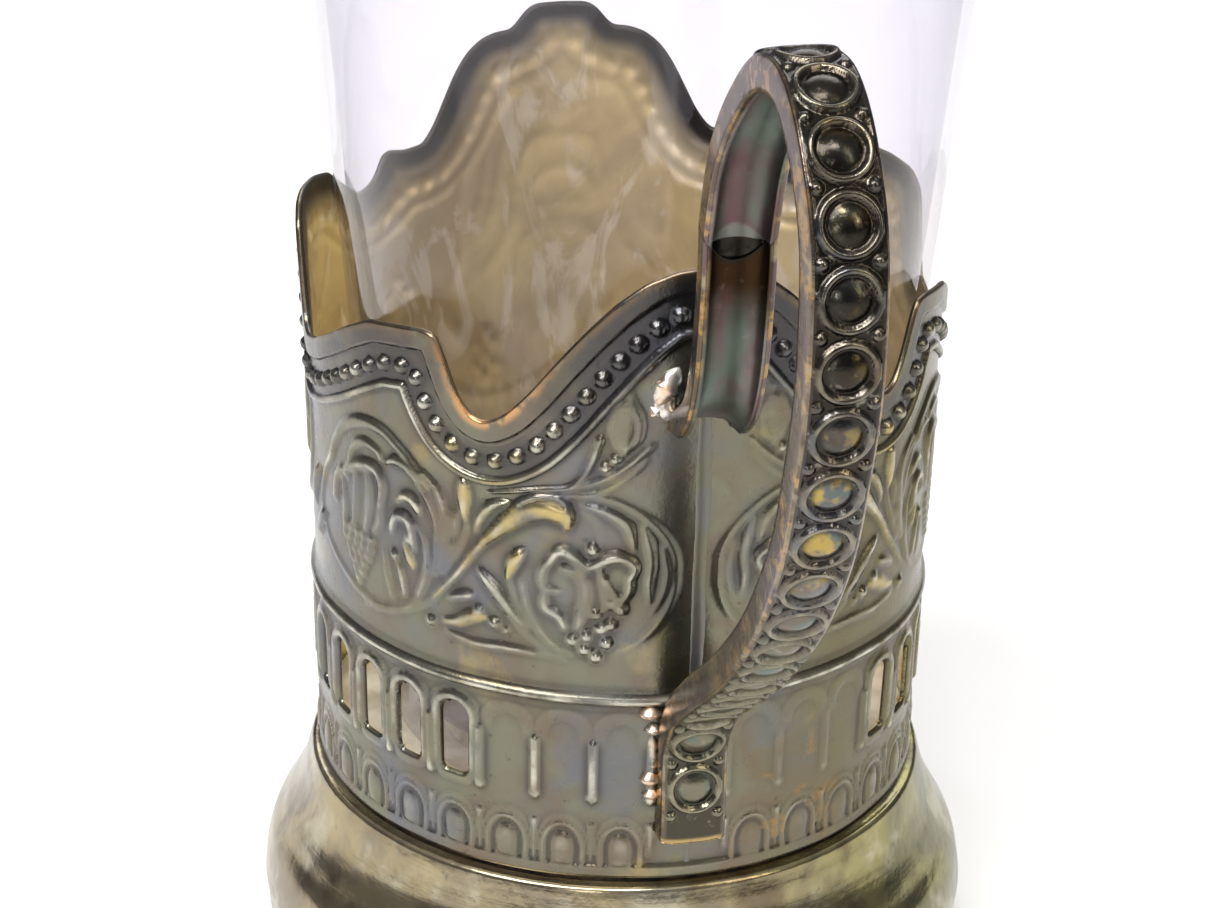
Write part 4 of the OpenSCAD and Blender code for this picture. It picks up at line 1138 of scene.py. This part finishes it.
def handle_look(name, shift, lap_shade, end_colour):
    """The strap's or bracket's metal; the third argument is how far its channel under the lap is painted dark
    brown, painted shade over brown tarnish.
    """
    m = Look(name, shift)
    height = m.along("Z")
    high = m.ramp(height, 0.085, 0.112)
    surface = m.coats(
        HANDLE,
        (VIOLET, (90, 5, 0.4, 0.62, 0, 0.8)),
        (GREEN, (75, 4, 0.5, 0.68, 1), 0.6),
        (HANDLE_LOW, m.ramp(height, 0.085, 0.06)))
    channel = m.coats(
        GREEN,
        (WINE, (80, 3, 0.4, 0.62, 8, 0, (1.6, 1.6, 0.5))),
        (CHANNEL_GREY, (110, 3, 0.48, 0.7, 9, 0, (1, 1, 0.6))),
        # Painted shade in the channel under the lap, over its brown tarnish
        (LAP_SHADE_BROWN, m.ramp(m.line(height, 0.006, m.noise(160, 3, -shift)), 0.0985, 0.1045), lap_shade),
        (LENS, "lens", 0.7))
    # Flank of brown with specks, then face and channel, then the upper face's painted dark reflection and
    # glints, painted teal reflection on the domes, the face's stains, worn crests with painted highlight,
    # painted shade in the hollows
    colour = m.coats(
        FLANK_BROWN,
        (FLANK_PLUM, (120, 4, 0.42, 0.64, 2)),
        (FLANK_PALE, (240, 4, 0.54, 0.66, 14)),
        (SPECK, (430, 5, 0.52, 0.62, 3), 0.75),
        (surface, "face"),
        (channel, "trough"),
        # Painted dark reflection on the upper face and domes, with painted glints
        (m.mix((260, 4, 0.52, 0.72, 12), NIGHT, GLIMMER), high, m.line(m.times("face", 0.6), 0.36, "dome")),
        # Painted teal reflection on the domes, more on the lower ones
        (TEAL, (290, 3, 0.48, 0.6, 16), "dome", m.line(0.6, -0.5, high)),
        (STAIN_GOLD, (430, 3, 0.46, 0.62, 11), "dome", m.ramp(height, 0.078, 0.088),
         m.ramp(height, 0.106, 0.098), 0.75),
        # Painted highlight on ring crests and shoulders, where the brass is also rubbed
        (RUBBED_HIGHLIGHT, (450, 3, 0.38, 0.66, 15), "crest", m.line(0.8, -0.35, high)),
        # Painted shade in the hollows, deeper higher up
        (NIGHT, "low", m.line(0.74, 0.16, high)),
        (WORN, (800, 3, 0.6, 0.72, 4), m.line(0.45, -0.35, "trough")),
        (end_colour, "lip", (500, 3, 0.3, 0.5, 13)))
    m.bumps((m.noise(3000, 3, 6), 0.00005, 0.4), (m.noise(500, 4, 7), 0.00015, 0.45))
    return m.finish(colour, 0.95, m.line(m.line(0.12, 0.22, m.noise(240, 5, 5)), 0.16, "trough"))


# The base's colours, plain and dull, from left to right, darker and warmer on the right as painted shade; its
# stains and its pale places
PLAIN = (0.345, 0.285, 0.17), (0.29, 0.265, 0.11)
DULL = (0.235, 0.195, 0.14), (0.16, 0.15, 0.08)
STAIN = (0.13, 0.095, 0.06)
PALE = (0.5, 0.47, 0.36)
FLECK = (0.12, 0.09, 0.06)


def base_look():
    m = Look("mottled base")
    right = m.ramp(m.along("Y"), -0.005, 0.035)
    colour = m.coats(
        m.mix(right, *PLAIN),
        (m.mix(right, *DULL), (90, 6, 0.38, 0.62, 0, 0.8)),
        (STAIN, (170, 5, 0.52, 0.7, 2, 0, (1, 1, 0.6)), 0.7),
        (PALE, (120, 4, 0.56, 0.7, 3), 0.6),
        (FLECK, (700, 4, 0.62, 0.72, 4), 0.5))
    lines = m.noise(900, 3, 6, stretch=(0.06, 0.06, 1))
    m.bumps((lines, 0.00008, 0.35), (m.noise(260, 4, 7), 0.0003, 0.35))
    return m.finish(colour, 0.96, m.line(0.1, 0.24, m.noise(110, 5, 5)))


def disc_look():
    m = Look("dull disc")
    m.bumps((m.noise(600, 3, 4), 0.0001, 0.4))
    return m.finish(m.mix((140, 5, 0.35, 0.65, 3), (0.95, 0.92, 0.78), (0.6, 0.55, 0.4)), 0.1, 0.4)


def solder_look(name, metal, tint, shift):
    m = Look(name, shift)
    colour = m.coats(metal, (tint, (380, 4, 0.42, 0.6)), (DARK, (900, 4, 0.55, 0.7, 1), 0.5))
    m.bumps((m.noise(1500, 3, 3), 0.00006, 0.4))
    return m.finish(colour, 0.92, m.line(0.22, 0.2, m.noise(500, 3, 2)))


def seam_look():
    m = Look("dull seam")
    m.bumps((m.noise(700, 3, 3), 0.0001, 0.5))
    return m.finish(m.mix((160, 4, 0.4, 0.6, 2), OLIVE, (0.17, 0.16, 0.15)), 0.93, 0.44)


def glass_look():
    """Thin clear glass: what is behind shows unbent and faintly lilac, and the surface gleams by its angle."""
    m = Look("clear glass")
    m.bumps((m.noise(28, 2), 0.0004, 0.12))
    normal = m.shader.inputs["Normal"].links[0].from_socket
    gleam = m.node("ShaderNodeBsdfGlossy", Color=(1, 1, 1), Roughness=0.0, Normal=normal)
    slant = m.node("ShaderNodeLayerWeight", Blend=0.5, Normal=normal).outputs["Facing"]
    body = m.mix(m.maths("POWER", slant, 3.0), (0.967, 0.958, 0.984), (0.76, 0.745, 0.8))
    clear = m.node("ShaderNodeBsdfTransparent", Color=body)
    both = m.node("ShaderNodeMixShader", Fac=m.line(0.015, 0.8, m.maths("POWER", slant, 4.5)))
    m.feed(both.inputs[1], clear.outputs["BSDF"])
    m.feed(both.inputs[2], gleam.outputs["BSDF"])
    m.feed(m.tree.nodes["Material Output"].inputs["Surface"], both.outputs["Shader"])
    m.tree.nodes.remove(m.shader)
    return m.material


def dress(piece, look, node, body="holder"):
    """Give a piece its material and its body, and hide the CAD node that it stands for."""
    piece.data.materials.append(look)
    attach(piece, body)
    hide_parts(node)


def redress(node, look):
    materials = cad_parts[node].data.materials
    materials.clear()
    materials.append(look)


SOLDER = (0.66, 0.64, 0.6)
SOLDER_DULL = (0.42, 0.38, 0.32)
SOLDER_BROWN = (0.1, 0.075, 0.05)
PEACH = (0.70, 0.50, 0.36)
LAP_SHADOW = (0.005, 0.004, 0.003)

dress(make_sleeve(), sleeve_look(), "sleeve")
dress(mesh_object("strap", *swept_channel(strap_line, strap_depth, STRAP_BOSSES, strap_warp, False)),
      handle_look("tarnished strap", 1.0, 0.0, CUT_END), "handle_strap")
# Under the strap's end the bracket's cut top is painted near-black, as shade
dress(mesh_object("bracket", *swept_channel(bracket_line, bracket_depth, BRACKET_BOSSES, bracket_warp, True)),
      handle_look("tarnished bracket", 4.0, 0.97, NIGHT), "handle_bracket")
# The solder patch under the strap's end is coloured near-black as painted shadow
dress(make_lap(), solder_look("solder in painted shadow", LAP_SHADOW, NIGHT, 7.0), "lap_solder")
dress(turned("base_bell", base_profile(), BASE_SIDES, spun_waves), base_look(), "base")
dress(seam_strip, seam_look(), "sleeve_seam")
dress(bracket_lumps, solder_look("bright solder", SOLDER, PEACH, 3.0), "bracket_solder")
dress(foot_lumps, solder_look("peach solder", SOLDER_DULL, PEACH, 5.0), "foot_solder")
dress(make_glass(), glass_look(), "glass", "glass")
# The solder at the base's joint is coloured dark, as painted shade in the gap under the sleeve
redress("base_solder", solder_look("dark solder", DARK, SOLDER_BROWN, 6.0))
redress("floor_disc", disc_look())


# Floor, light and surroundings

FLOOR_R = 3.0
FLOOR_SIDES = 96


def make_floor():
    a = np.arange(FLOOR_SIDES) * 2 * math.pi / FLOOR_SIDES
    piece = mesh_object("floor", around(FLOOR_R / MM, a, 0), [range(FLOOR_SIDES)])
    piece.data.materials.append(Look("pale floor").finish((0.8, 0.8, 0.8), 0.0, 0.8))


# Height that the lamps are aimed at, in metres
AIM_H = 0.07


def area_light(name, azimuth, height, distance, size, watts, tint=(1, 1, 1)):
    """Softbox aimed at the object, its azimuth counted from the camera's, positive to the right."""
    data = bpy.data.lights.new(name, "AREA")
    data.shape = "RECTANGLE"
    data.size, data.size_y = size
    data.energy = watts
    data.color = tint
    a = (CAMERA_AZIMUTH + azimuth) * DEG
    target = Vector((0, 0, AIM_H))
    level = math.cos(height * DEG)
    place = target + distance * Vector((math.cos(a) * level, math.sin(a) * level, math.sin(height * DEG)))
    lamp = bpy.data.objects.new(name, data)
    lamp.location = place
    lamp.rotation_euler = (target - place).to_track_quat("-Z", "Y").to_euler()
    bpy.context.collection.objects.link(lamp)


def make_world():
    """Room round the object: bright above, dimmer level with it."""
    world = bpy.data.worlds.new("room")
    world.use_nodes = True
    bpy.context.scene.world = world
    tree = world.node_tree
    back = tree.nodes["Background"]
    place = tree.nodes.new("ShaderNodeTexCoord")
    split = tree.nodes.new("ShaderNodeSeparateXYZ")
    ramp = tree.nodes.new("ShaderNodeValToRGB")
    tree.links.new(place.outputs["Generated"], split.inputs["Vector"])
    tree.links.new(split.outputs["Z"], ramp.inputs["Fac"])
    tree.links.new(ramp.outputs["Color"], back.inputs["Color"])
    elements = ramp.color_ramp.elements
    elements[0].position, elements[0].color = 0.0, (0.2, 0.2, 0.22, 1)
    elements[1].position, elements[1].color = 1.0, (1, 1, 1, 1)
    middle = elements.new(0.45)
    middle.color = (0.3, 0.3, 0.33, 1)
    back.inputs["Strength"].default_value = 0.7


make_floor()
make_world()
area_light("key", -38, 50, 0.75, (0.34, 0.34), 5.6)
area_light("fill", 50, 32, 0.8, (0.12, 0.55), 1.5, (1, 0.9, 0.66))
area_light("strip", -10, 14, 0.9, (0.12, 0.3), 0.7)
area_light("back", 175, 42, 0.9, (0.8, 0.5), 4.0)
area_light("inner", 6, 62, 0.8, (0.25, 0.15), 3.5)
bpy.context.scene.view_settings.view_transform = "Standard"
